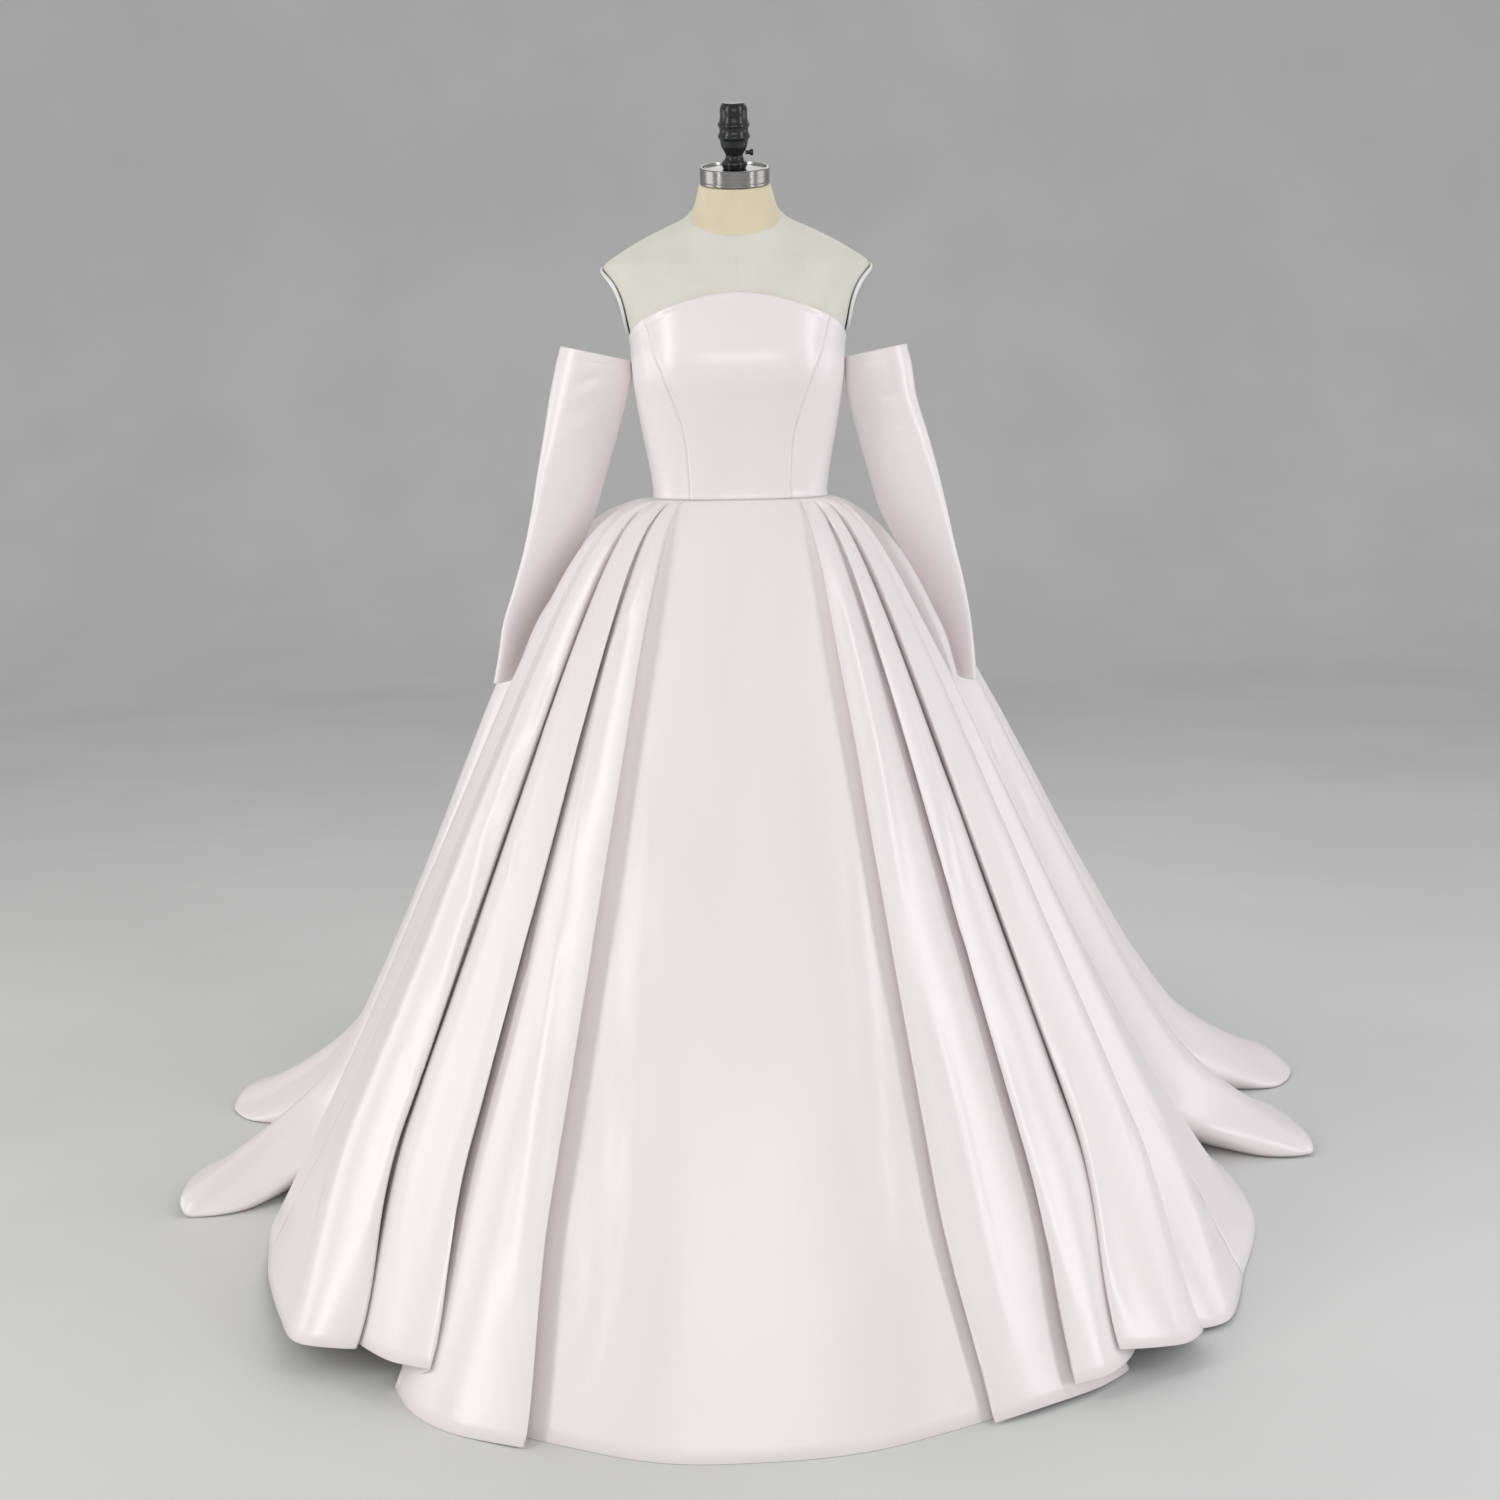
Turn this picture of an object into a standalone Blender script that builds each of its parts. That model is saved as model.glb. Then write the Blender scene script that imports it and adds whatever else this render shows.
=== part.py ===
"""Wedding dress on a dress form: a strapless ball gown with hanging sleeves, pleats and a train.

Units are metres, +Z is up, the front of the dress faces -Y and the origin is the middle of the
stand's underside. Every cloth piece is a thin wall: its outer side is worked out from the tables
below, and its inner side is the same surface moved in by the cloth's thickness.
"""
import math
from collections import namedtuple

import bmesh
import bpy
import numpy as np

# Driving sizes
GAP = 0.0003
SEAM_TRIM = 0.000225
WAIST_Z = 1.070
CLOTH = 0.0020
SLEEVE_CLOTH = 0.0016
BODICE_CLEAR = 0.0012
WAIST_SPRING_DEPTH = 0.030
WAIST_SPRING_POWER = 0.6
FOLD_TURN_POWER = 1.2
LOBE_TURN_START = 0.78
TUCK_DEPTH = 0.06
PLEAT_STEPS = 2
HEM_Z = 0.0010

# Stand and neck fittings
BASE_RADIUS = 0.190
BASE_EDGE = 0.006
BASE_HEIGHT = 0.016
BASE_BEVEL_RISE = 0.003
BASE_BEVEL_RUN = 0.004
BASE_HUB_RADIUS = 0.0352
BASE_SEGMENTS = 48
POLE_RADIUS = 0.016
POLE_SEGMENTS = 24
CAP_RADIUS = 0.0462
CAP_HEIGHT = 0.0225
CAP_RIM = 0.0035
CAP_RECESS = 0.0030
CAP_EDGE = 0.0012
CAP_SEGMENTS = 36
NECK_TILT = 15.0
ARM_PLATE = 0.004
ARM_PLATE_CLEAR = 0.0020
ARM_PLATE_DEGREES = 94.0
ARM_PLATE_HALF_DEGREES = 24.0
ARM_PLATE_Z = 1.328
ARM_PLATE_HALF_HEIGHT = 0.042
ARM_PLATE_SEGMENTS = 16

# Height, half width, front and back depth, corner power, forward tilt in degrees, shift in Y
Section = namedtuple("Section", "z half_width front back power tilt shift")
FORM = (
    Section(0.790, 0.146, 0.098, 0.108, 2.2, 0.0, 0.0),
    Section(0.830, 0.158, 0.108, 0.118, 2.2, 0.0, 0.0),
    Section(0.880, 0.163, 0.111, 0.122, 2.2, 0.0, 0.0),
    Section(0.940, 0.155, 0.106, 0.114, 2.2, 0.0, 0.0),
    Section(1.000, 0.135, 0.096, 0.097, 2.2, 0.0, 0.0),
    Section(1.040, 0.1215, 0.089, 0.086, 2.2, 0.0, 0.0),
    Section(1.070, 0.1155, 0.0855, 0.081, 2.2, 0.0, 0.0),
    Section(1.105, 0.1185, 0.0890, 0.083, 2.25, 0.0, 0.0),
    Section(1.150, 0.1265, 0.0975, 0.088, 2.35, 0.0, 0.0),
    Section(1.195, 0.1340, 0.1110, 0.094, 2.5, 0.0, 0.0),
    Section(1.230, 0.1385, 0.1220, 0.098, 2.7, 0.0, 0.0),
    Section(1.255, 0.1402, 0.1240, 0.100, 2.75, 0.0, 0.0),
    Section(1.285, 0.1425, 0.1170, 0.102, 2.65, 0.0, 0.0),
    Section(1.320, 0.1520, 0.1050, 0.102, 2.45, 0.0, 0.0),
    Section(1.352, 0.1665, 0.0900, 0.098, 2.3, 0.0, 0.0),
    Section(1.380, 0.1775, 0.0760, 0.090, 2.2, 0.0, 0.0),
    Section(1.394, 0.1660, 0.0680, 0.082, 2.1, 2.0, 0.0),
    Section(1.410, 0.1350, 0.0620, 0.074, 2.05, 4.0, 0.0),
    Section(1.425, 0.0990, 0.0580, 0.067, 2.0, 7.0, -0.001),
    Section(1.438, 0.0700, 0.0550, 0.061, 2.0, 10.0, -0.002),
    Section(1.450, 0.0575, 0.0520, 0.055, 2.0, 12.0, -0.004),
    Section(1.466, 0.0515, 0.0485, 0.050, 2.0, 14.0, -0.007),
    Section(1.4815, 0.0475, 0.0470, 0.0470, 2.0, NECK_TILT, -0.010),
)
FORM_SEGMENTS = 48

# Bodice: height of the top edge by angle, and each seam's angle at the waist and upwards
TopEdge = namedtuple("TopEdge", "degrees z")
BODICE_TOP = (
    TopEdge(0, 1.336),
    TopEdge(25, 1.330),
    TopEdge(45, 1.317),
    TopEdge(58, 1.304),
    TopEdge(72, 1.289),
    TopEdge(90, 1.277),
    TopEdge(115, 1.268),
    TopEdge(180, 1.262),
)
SeamRow = namedtuple("SeamRow", "z princess side")
BODICE_SEAMS = (
    SeamRow(1.070, 42.0, 94.0),
    SeamRow(1.110, 40.5, 94.0),
    SeamRow(1.150, 39.0, 94.0),
    SeamRow(1.195, 40.5, 94.0),
    SeamRow(1.235, 43.5, 94.0),
    SeamRow(1.275, 51.0, 94.0),
    SeamRow(1.310, 58.0, 94.0),
)
BODICE_FULL_Z = 1.255
BODICE_TOP_ROWS = 3
BODICE_COLUMN_DEGREES = 6.5

# Skirt: a row for each ridge and crease, from the centre front round to the centre back.
# Angles are in degrees from the front: at the waist, on the way down, and at the hem.
# lift is the hem's height, spring the share of the width that stands out at the waist, flat
# how far it runs out along the floor, and tuck how far a crease lies in.
Fold = namedtuple("Fold", "name waist way hem radius lift spring flat tuck")
CENTER_FRONT = Fold("center_front", 0, 0, 0, 0.636, 0.0010, 0.06, 0.06, 0.0)
CENTER_BACK = Fold("center_back", 180, 180, 180, 1.270, 0.0040, 0.12, 0.92, 0.0)
LEFT_FOLDS = (
    Fold("panel_half", 23, 12, 12, 0.641, 0.0010, 0.07, 0.06, 0.0),
    Fold("under_a", 44.3, 30, 29.5, 0.634, 0.0010, 0.10, 0.06, 0.004),
    Fold("edge_a", 45.5, 26.5, 24.3, 0.655, 0.0030, 0.12, 0.06, -0.003),
    Fold("face_a", 47.5, 33, 33, 0.664, 0.0010, 0.13, 0.06, -0.002),
    Fold("face_a_wide", 49.2, 39, 39.5, 0.655, 0.0010, 0.13, 0.08, 0.0),
    Fold("under_b", 50.6, 47, 48, 0.612, 0.0030, 0.125, 0.08, 0.010),
    Fold("edge_b", 51.8, 42.5, 38.5, 0.642, 0.0560, 0.135, 0.08, -0.004),
    Fold("face_b", 58, 50, 43.5, 0.648, 0.0500, 0.135, 0.08, -0.003),
    Fold("face_b_wide", 63, 56, 50, 0.644, 0.0440, 0.13, 0.08, 0.0),
    Fold("under_c", 66, 61.5, 57, 0.612, 0.0350, 0.125, 0.08, 0.012),
    Fold("edge_c", 67.5, 57.5, 50.5, 0.655, 0.0420, 0.135, 0.08, -0.004),
    Fold("face_c", 71, 63, 55.5, 0.700, 0.0400, 0.14, 0.08, -0.003),
    Fold("face_c_mid", 75, 70, 64, 0.690, 0.0280, 0.14, 0.08, 0.0),
    Fold("face_c_low", 79, 76, 77, 0.688, 0.0140, 0.14, 0.08, 0.0),
    Fold("crease_cd", 84, 80, 87, 0.700, 0.0030, 0.14, 0.08, 0.012),
    Fold("fold_d", 89, 91, 96, 0.722, 0.0015, 0.14, 0.21, -0.006),
    Fold("fold_d_turn", 94, 96.5, 105, 0.727, 0.0020, 0.105, 0.34, 0.0),
    Fold("crease_de", 99, 102, 111, 0.738, 0.0015, 0.09, 0.56, 0.016),
    Fold("lobe_e_front", 103, 107.5, 99, 0.776, 0.0020, 0.165, 0.77, 0.0),
    Fold("lobe_e_tip", 106, 111, 96.4, 0.856, 0.0030, 0.175, 0.79, -0.004),
    Fold("lobe_e_ridge", 109, 114, 98.5, 0.878, 0.0260, 0.175, 0.77, -0.004),
    Fold("lobe_e_back", 113, 117.5, 106, 0.890, 0.0260, 0.165, 0.77, 0.0),
    Fold("crease_ef", 117, 121.5, 121, 0.890, 0.0015, 0.14, 0.80, 0.016),
    Fold("lobe_f_front", 121, 125, 120.5, 0.995, 0.0020, 0.13, 0.81, 0.0),
    Fold("lobe_f_tip", 124.5, 127.5, 122, 1.058, 0.0060, 0.13, 0.81, -0.004),
    Fold("lobe_f_ridge", 128, 130, 125.5, 1.076, 0.0300, 0.13, 0.79, -0.004),
    Fold("lobe_f_back", 132, 133.5, 133.5, 1.066, 0.0150, 0.13, 0.84, 0.0),
    Fold("crease_fg", 137, 139, 141, 1.020, 0.0015, 0.12, 0.89, 0.018),
    Fold("fold_g", 146, 148, 150, 1.150, 0.0040, 0.12, 0.89, -0.004),
    Fold("crease_gh", 154, 156, 158, 1.100, 0.0015, 0.12, 0.91, 0.016),
    Fold("fold_h", 163, 165, 166, 1.235, 0.0040, 0.12, 0.91, -0.004),
    Fold("crease_hi", 171, 172, 173, 1.195, 0.0015, 0.12, 0.92, 0.014),
)
RIGHT_FOLDS = (
    Fold("panel_half", 23, 13, 13.5, 0.628, 0.0010, 0.07, 0.06, 0.0),
    Fold("under_a", 44.3, 29, 32, 0.616, 0.0010, 0.09, 0.06, 0.004),
    Fold("edge_a", 45.6, 24.8, 26.7, 0.628, 0.0040, 0.105, 0.06, -0.003),
    Fold("face_a", 48.5, 32, 32.5, 0.634, 0.0080, 0.11, 0.06, -0.003),
    Fold("face_a_wide", 51, 38, 41, 0.640, 0.0060, 0.11, 0.06, 0.0),
    Fold("under_b", 52.8, 44, 48, 0.636, 0.0030, 0.10, 0.06, 0.010),
    Fold("edge_b", 54, 40, 37, 0.644, 0.0280, 0.115, 0.06, -0.004),
    Fold("face_b", 57.5, 45, 40.5, 0.658, 0.0310, 0.115, 0.06, -0.003),
    Fold("face_b_wide", 60, 50, 45, 0.652, 0.0320, 0.11, 0.06, 0.0),
    Fold("under_c", 61.8, 55, 51, 0.612, 0.0300, 0.10, 0.06, 0.012),
    Fold("edge_c", 63, 51, 43.5, 0.652, 0.0520, 0.115, 0.06, -0.004),
    Fold("face_c", 68, 57, 50.5, 0.688, 0.0380, 0.11, 0.08, -0.003),
    Fold("face_c_wide", 73, 62.5, 56.5, 0.684, 0.0260, 0.10, 0.08, -0.002),
    Fold("crease_cd", 77, 67, 58.5, 0.660, 0.0100, 0.09, 0.08, 0.012),
    Fold("fold_d", 84, 76, 64, 0.694, 0.0060, 0.085, 0.11, -0.004),
    Fold("crease_de", 90, 84, 76, 0.694, 0.0030, 0.06, 0.16, 0.006),
    Fold("fold_e", 94, 91.5, 92, 0.738, 0.0015, 0.055, 0.42, -0.004),
    Fold("fold_e_turn", 98, 97.5, 108, 0.772, 0.0020, 0.06, 0.62, 0.0),
    Fold("crease_ef", 102, 103.5, 117, 0.770, 0.0015, 0.08, 0.70, 0.014),
    Fold("lobe_f_front", 105, 110.5, 108, 0.850, 0.0020, 0.095, 0.77, 0.0),
    Fold("lobe_f_tip", 108, 114, 106.5, 0.925, 0.0060, 0.105, 0.72, -0.004),
    Fold("lobe_f_ridge", 111, 116.5, 109.5, 0.945, 0.0230, 0.11, 0.72, -0.004),
    Fold("lobe_f_back", 114, 119.5, 117.5, 0.965, 0.0250, 0.115, 0.74, 0.0),
    Fold("crease_fg", 118, 123.5, 127, 0.960, 0.0015, 0.13, 0.77, 0.016),
    Fold("lobe_g_front", 122, 127, 122.5, 1.075, 0.0020, 0.13, 0.77, 0.0),
    Fold("lobe_g_tip", 126, 129, 124.5, 1.165, 0.0080, 0.13, 0.74, -0.004),
    Fold("lobe_g_ridge", 130, 132, 128.5, 1.165, 0.0380, 0.13, 0.74, -0.004),
    Fold("lobe_g_back", 134, 135.5, 134, 1.130, 0.0200, 0.12, 0.83, 0.0),
    Fold("crease_gh", 139, 140, 141, 1.060, 0.0015, 0.12, 0.89, 0.018),
    Fold("fold_h", 147, 149, 150, 1.175, 0.0040, 0.12, 0.89, -0.004),
    Fold("crease_hi", 155, 157, 158, 1.115, 0.0015, 0.12, 0.91, 0.016),
    Fold("fold_i", 163, 165, 166, 1.245, 0.0040, 0.12, 0.91, -0.004),
    Fold("crease_ij", 171, 172, 173, 1.205, 0.0015, 0.12, 0.92, 0.014),
)
SKIRT_ROWS = (
    0.0, 0.006, 0.022, 0.050, 0.09, 0.14, 0.21, 0.29, 0.38, 0.47,
    0.56, 0.65, 0.74, 0.82, 0.89, 0.95, 1.0,
)
# Each skirt piece runs between two named folds; L and R are the sides of the table
SkirtPiece = namedtuple("SkirtPiece", "name start_side start end_side end")
SKIRT_PIECES = (
    SkirtPiece("skirt_center_front", "L", "under_a", "R", "under_a"),
    SkirtPiece("skirt_side_front_left", "L", "crease_cd", "L", "under_a"),
    SkirtPiece("skirt_side_back_left", "L", "crease_fg", "L", "crease_cd"),
    SkirtPiece("skirt_back_left", "L", "center_back", "L", "crease_fg"),
    SkirtPiece("skirt_side_front_right", "R", "under_a", "R", "crease_de"),
    SkirtPiece("skirt_side_back_right", "R", "crease_de", "R", "crease_gh"),
    SkirtPiece("skirt_back_right", "R", "crease_gh", "R", "center_back"),
)

# Sleeves: a row for each section of the hanging tube, from its top edge to the cuff
SleeveRow = namedtuple("SleeveRow", "z x y half_width half_depth turn slope")
LEFT_SLEEVE = (
    SleeveRow(1.264, -0.1915, 0.000, 0.0478, 0.026, 0, -0.15),
    SleeveRow(1.238, -0.1955, 0.000, 0.0518, 0.025, 0, -0.10),
    SleeveRow(1.200, -0.2050, 0.002, 0.0520, 0.024, 2, -0.06),
    SleeveRow(1.150, -0.2175, 0.006, 0.0495, 0.022, 5, -0.03),
    SleeveRow(1.100, -0.2310, 0.012, 0.0475, 0.020, 9, 0.0),
    SleeveRow(1.050, -0.2440, 0.022, 0.0455, 0.018, 16, 0.0),
    SleeveRow(1.000, -0.2620, 0.030, 0.0425, 0.016, 30, 0.0),
    SleeveRow(0.950, -0.2853, 0.036, 0.0400, 0.014, 44, 0.0),
    SleeveRow(0.900, -0.3103, 0.040, 0.0370, 0.012, 58, 0.0),
    SleeveRow(0.860, -0.3240, 0.042, 0.0340, 0.011, 68, 0.0),
    SleeveRow(0.812, -0.3390, 0.043, 0.0320, 0.010, 76, 0.0),
)
RIGHT_SLEEVE = (
    SleeveRow(1.262, 0.1860, 0.000, 0.0420, 0.025, 0, 0.10),
    SleeveRow(1.236, 0.1893, 0.000, 0.0456, 0.025, 0, 0.05),
    SleeveRow(1.200, 0.1945, 0.002, 0.0470, 0.024, 2, 0.0),
    SleeveRow(1.150, 0.2085, 0.006, 0.0480, 0.022, 5, 0.0),
    SleeveRow(1.100, 0.2230, 0.012, 0.0480, 0.020, 9, 0.0),
    SleeveRow(1.050, 0.2370, 0.022, 0.0470, 0.018, 16, 0.0),
    SleeveRow(1.000, 0.2560, 0.032, 0.0430, 0.016, 30, 0.0),
    SleeveRow(0.950, 0.2770, 0.042, 0.0400, 0.014, 46, 0.0),
    SleeveRow(0.900, 0.2950, 0.050, 0.0370, 0.012, 58, 0.0),
    SleeveRow(0.860, 0.3064, 0.054, 0.0340, 0.011, 68, 0.0),
    SleeveRow(0.808, 0.3160, 0.056, 0.0320, 0.010, 78, 0.0),
)
SLEEVE_SEGMENTS = 18
SLEEVE_SPLIT_ROW = 5

# Black knob above the neck cap: height over the cap's top plate and radius
KnobRow = namedtuple("KnobRow", "height radius")
KNOB = (
    KnobRow(0.0000, 0.0150),
    KnobRow(0.0030, 0.0162),
    KnobRow(0.0080, 0.0164),
    KnobRow(0.0125, 0.0125),
    KnobRow(0.0165, 0.0114),
    KnobRow(0.0215, 0.0134),
    KnobRow(0.0270, 0.0166),
    KnobRow(0.0370, 0.0192),
    KnobRow(0.0410, 0.0214),
    KnobRow(0.0450, 0.0196),
    KnobRow(0.0490, 0.0188),
    KnobRow(0.0525, 0.0196),
    KnobRow(0.0560, 0.0212),
    KnobRow(0.0600, 0.0190),
    KnobRow(0.0640, 0.0182),
    KnobRow(0.0800, 0.0164),
    KnobRow(0.0835, 0.0140),
)
KNOB_SEGMENTS = 20
SCREW_HEIGHT = 0.0205
SCREW_RADIUS = 0.0026
SCREW_HEAD_RADIUS = 0.0042
SCREW_SHANK = 0.0060
SCREW_HEAD = 0.0045
SCREW_SEGMENTS = 12

# Colour, roughness and metallic value of each material
Finish = namedtuple("Finish", "color roughness metallic")
SATIN = Finish((0.86, 0.81, 0.80), 0.42, 0.0)
FORM_CLOTH = Finish((0.76, 0.74, 0.62), 0.85, 0.0)
STEEL = Finish((0.62, 0.61, 0.60), 0.30, 1.0)
BLACK = Finish((0.010, 0.014, 0.018), 0.35, 0.0)
CLEAR_GREY = Finish((0.50, 0.54, 0.56), 0.40, 0.0)


def material(name, finish):
    """Return the named material, made once."""
    found = bpy.data.materials.get(name)
    if found:
        return found
    made = bpy.data.materials.new(name)
    made.use_nodes = True
    shader = made.node_tree.nodes["Principled BSDF"]
    shader.inputs["Base Color"].default_value = (*finish.color, 1.0)
    shader.inputs["Roughness"].default_value = finish.roughness
    shader.inputs["Metallic"].default_value = finish.metallic
    made.diffuse_color = (*finish.color, 1.0)
    return made


def add_object(name, points, faces, look):
    """Link one closed mesh, with its faces turned outwards and shaded smooth."""
    mesh = bpy.data.meshes.new(name)
    mesh.from_pydata([tuple(map(float, point)) for point in points], [], faces)
    shell = bmesh.new()
    shell.from_mesh(mesh)
    bmesh.ops.recalc_face_normals(shell, faces=shell.faces)
    if shell.calc_volume(signed=True) < 0:
        bmesh.ops.reverse_faces(shell, faces=shell.faces)
    shell.to_mesh(mesh)
    shell.free()
    mesh.shade_smooth()
    mesh.set_sharp_from_angle(angle=math.radians(40))
    mesh.materials.append(look)
    made = bpy.data.objects.new(name, mesh)
    bpy.context.scene.collection.objects.link(made)
    return made


def smooth_at(keys, values, at):
    """Read a table column at a key with a Catmull-Rom curve through its rows."""
    keys = np.asarray(keys, float)
    values = np.asarray(values, float)
    at = np.clip(np.asarray(at, float), keys[0], keys[-1])
    index = np.clip(np.searchsorted(keys, at, side="right") - 1, 0, len(keys) - 2)
    slopes = np.gradient(values, keys)
    width = keys[index + 1] - keys[index]
    t = (at - keys[index]) / width
    start, end = values[index], values[index + 1]
    return (
        (2 * t**3 - 3 * t**2 + 1) * start
        + (t**3 - 2 * t**2 + t) * width * slopes[index]
        + (3 * t**2 - 2 * t**3) * end
        + (t**3 - t**2) * width * slopes[index + 1]
    )


def oval_radius(angle, half_width, front, back, power):
    """Radius of a rounded section in the direction of an angle from the front."""
    depth = np.where(np.cos(angle) > 0, front, back)
    across = (np.abs(np.sin(angle)) / half_width) ** power
    along = (np.abs(np.cos(angle)) / depth) ** power
    return (across + along) ** (-1 / power)


def form_point(angle, z):
    """Point of the dress form's surface at an angle from the front and a height."""
    heights = [row.z for row in FORM]
    half_width, front, back, power, tilt, shift = (
        smooth_at(heights, [getattr(row, field) for row in FORM], z)
        for field in ("half_width", "front", "back", "power", "tilt", "shift")
    )
    radius = oval_radius(angle, half_width, front, back, power)
    drop = np.tan(np.radians(tilt)) * radius * np.cos(angle)
    return np.stack([radius * np.sin(angle), shift - radius * np.cos(angle), z - drop], -1)


def unit(vectors):
    """Scale vectors to a length of one."""
    return vectors / np.linalg.norm(vectors, axis=-1, keepdims=True)


def surface_normals(grid, closed):
    """Unit normals of a grid of points; rows run down and columns run round to the left."""
    down = np.gradient(grid, axis=0)
    if closed:
        ring = np.concatenate([grid[:, -1:], grid, grid[:, :1]], axis=1)
        across = (ring[:, 2:] - ring[:, :-2]) / 2
    else:
        across = np.gradient(grid, axis=1)
    return unit(np.cross(down, across))


def wall(name, outer, inner, look, closed=False):
    """Close an outer and an inner grid of points into one thin solid."""
    rows, columns = outer.shape[:2]
    count = rows * columns
    points = np.concatenate([outer.reshape(-1, 3), inner.reshape(-1, 3)])
    faces = []
    last = columns if closed else columns - 1

    def at(row, column):
        return row * columns + column % columns

    # Both sides of the cloth are split on the same diagonal, the shorter one, so the wall stays even
    for row in range(rows - 1):
        for column in range(last):
            quad = [at(row, column), at(row, column + 1), at(row + 1, column + 1), at(row + 1, column)]
            down = np.linalg.norm(points[quad[0]] - points[quad[2]])
            up = np.linalg.norm(points[quad[1]] - points[quad[3]])
            if down > up:
                quad = quad[1:] + quad[:1]
            for triangle in (quad[:3], [quad[0], quad[2], quad[3]]):
                faces.append(triangle)
                faces.append([corner + count for corner in reversed(triangle)])
    for column in range(last):
        for row in (0, rows - 1):
            near, far = at(row, column), at(row, column + 1)
            faces.append([near, far, far + count, near + count])
    if not closed:
        for row in range(rows - 1):
            for column in (0, columns - 1):
                near, far = at(row, column), at(row + 1, column)
                faces.append([near, far, far + count, near + count])
    return add_object(name, points, faces, look)


def stacked_rings(name, rings, look):
    """Close a stack of rings, from the lowest to the highest, into one solid."""
    segments = len(rings[0])
    points = np.concatenate(rings)
    faces = []
    for level in range(len(rings) - 1):
        for step in range(segments):
            after = (step + 1) % segments
            low, high = level * segments, (level + 1) * segments
            faces.append([low + step, low + after, high + after, high + step])
    faces.append(list(range(segments)))
    faces.append([(len(rings) - 1) * segments + step for step in range(segments)])
    return add_object(name, points, faces, look)


def turned(profile, segments, center, tilt=0.0):
    """Rings of a turned piece: profile rows are height and radius, tilted forward at center."""
    angles = np.linspace(0, 2 * math.pi, segments, endpoint=False)
    lean = math.radians(tilt)
    rings = []
    for height, radius in profile:
        x = radius * np.cos(angles)
        y = radius * np.sin(angles)
        rings.append(
            np.stack(
                [
                    center[0] + x,
                    center[1] + y * math.cos(lean) - height * math.sin(lean),
                    center[2] + y * math.sin(lean) + height * math.cos(lean),
                ],
                -1,
            )
        )
    return rings


def build_stand():
    """Round base plate and the pole that carries the form."""
    look = material("stand_metal", STEEL)
    plate = [
        (0.0, BASE_RADIUS),
        (BASE_EDGE, BASE_RADIUS),
        (BASE_EDGE + BASE_BEVEL_RISE, BASE_RADIUS - BASE_BEVEL_RUN),
        (BASE_HEIGHT, BASE_HUB_RADIUS),
    ]
    stacked_rings("stand_base", turned(plate, BASE_SEGMENTS, (0, 0, 0)), look)
    pole = [(BASE_HEIGHT + GAP, POLE_RADIUS), (FORM[0].z - GAP, POLE_RADIUS)]
    stacked_rings("stand_pole", turned(pole, POLE_SEGMENTS, (0, 0, 0)), look)


def build_form():
    """Filled, smooth, limbless torso with its neck, and a plate over each armhole."""
    look = material("form_linen", FORM_CLOTH)
    angles = np.linspace(0, 2 * math.pi, FORM_SEGMENTS, endpoint=False)
    rings = [form_point(angles, np.full_like(angles, row.z)) for row in FORM]
    stacked_rings("form_torso", rings, look)
    plate_look = material("arm_plate_grey", CLEAR_GREY)
    for side, name in ((-1, "form_arm_plate_left"), (1, "form_arm_plate_right")):
        build_arm_plate(name, side, plate_look)


def build_arm_plate(name, side, look):
    """Oval plate over an armhole, lying on the form with rounded edges."""
    steps = np.linspace(0, 2 * math.pi, ARM_PLATE_SEGMENTS, endpoint=False)
    shares = (0.3, 0.62, 0.88, 1.0)
    heights = (1.0, 1.0, 0.85, 0.35)

    def layer(share, out):
        degrees = ARM_PLATE_DEGREES + ARM_PLATE_HALF_DEGREES * share * np.sin(steps)
        angle = np.radians(degrees) * side
        z = ARM_PLATE_Z + ARM_PLATE_HALF_HEIGHT * share * np.cos(steps)
        here = form_point(angle, z)
        ahead = form_point(angle + 0.02, z) - here
        above = form_point(angle, z + 0.002) - here
        return here + unit(np.cross(ahead, above)) * out

    inner = [layer(share, ARM_PLATE_CLEAR) for share in shares]
    outer = [layer(share, ARM_PLATE_CLEAR + ARM_PLATE * rise) for share, rise in zip(shares, heights)]
    stacked_rings(name, inner + outer[::-1], look)


def neck_frame():
    """Centre of the neck's top ring, where the cap sits."""
    top = FORM[-1]
    return (0.0, top.shift, top.z)


def build_neck_fittings():
    """Steel neck cap, the black knob on it and the knob's thumb screw."""
    steel = material("cap_steel", STEEL)
    black = material("knob_black", BLACK)
    seat = neck_frame()
    plate_height = CAP_HEIGHT - CAP_RECESS
    cap = [
        (GAP, CAP_RADIUS - 0.002),
        (GAP + CAP_EDGE, CAP_RADIUS),
        (CAP_HEIGHT - CAP_EDGE, CAP_RADIUS),
        (CAP_HEIGHT, CAP_RADIUS - CAP_EDGE),
        (CAP_HEIGHT, CAP_RADIUS - CAP_RIM),
        (plate_height, CAP_RADIUS - CAP_RIM - 0.001),
    ]
    stacked_rings("neck_cap", turned(cap, CAP_SEGMENTS, seat, NECK_TILT), steel)
    knob = [(plate_height + GAP + row.height, row.radius) for row in KNOB]
    stacked_rings("neck_knob", turned(knob, KNOB_SEGMENTS, seat, NECK_TILT), black)
    build_screw(seat, plate_height + GAP + SCREW_HEIGHT, black)


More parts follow.
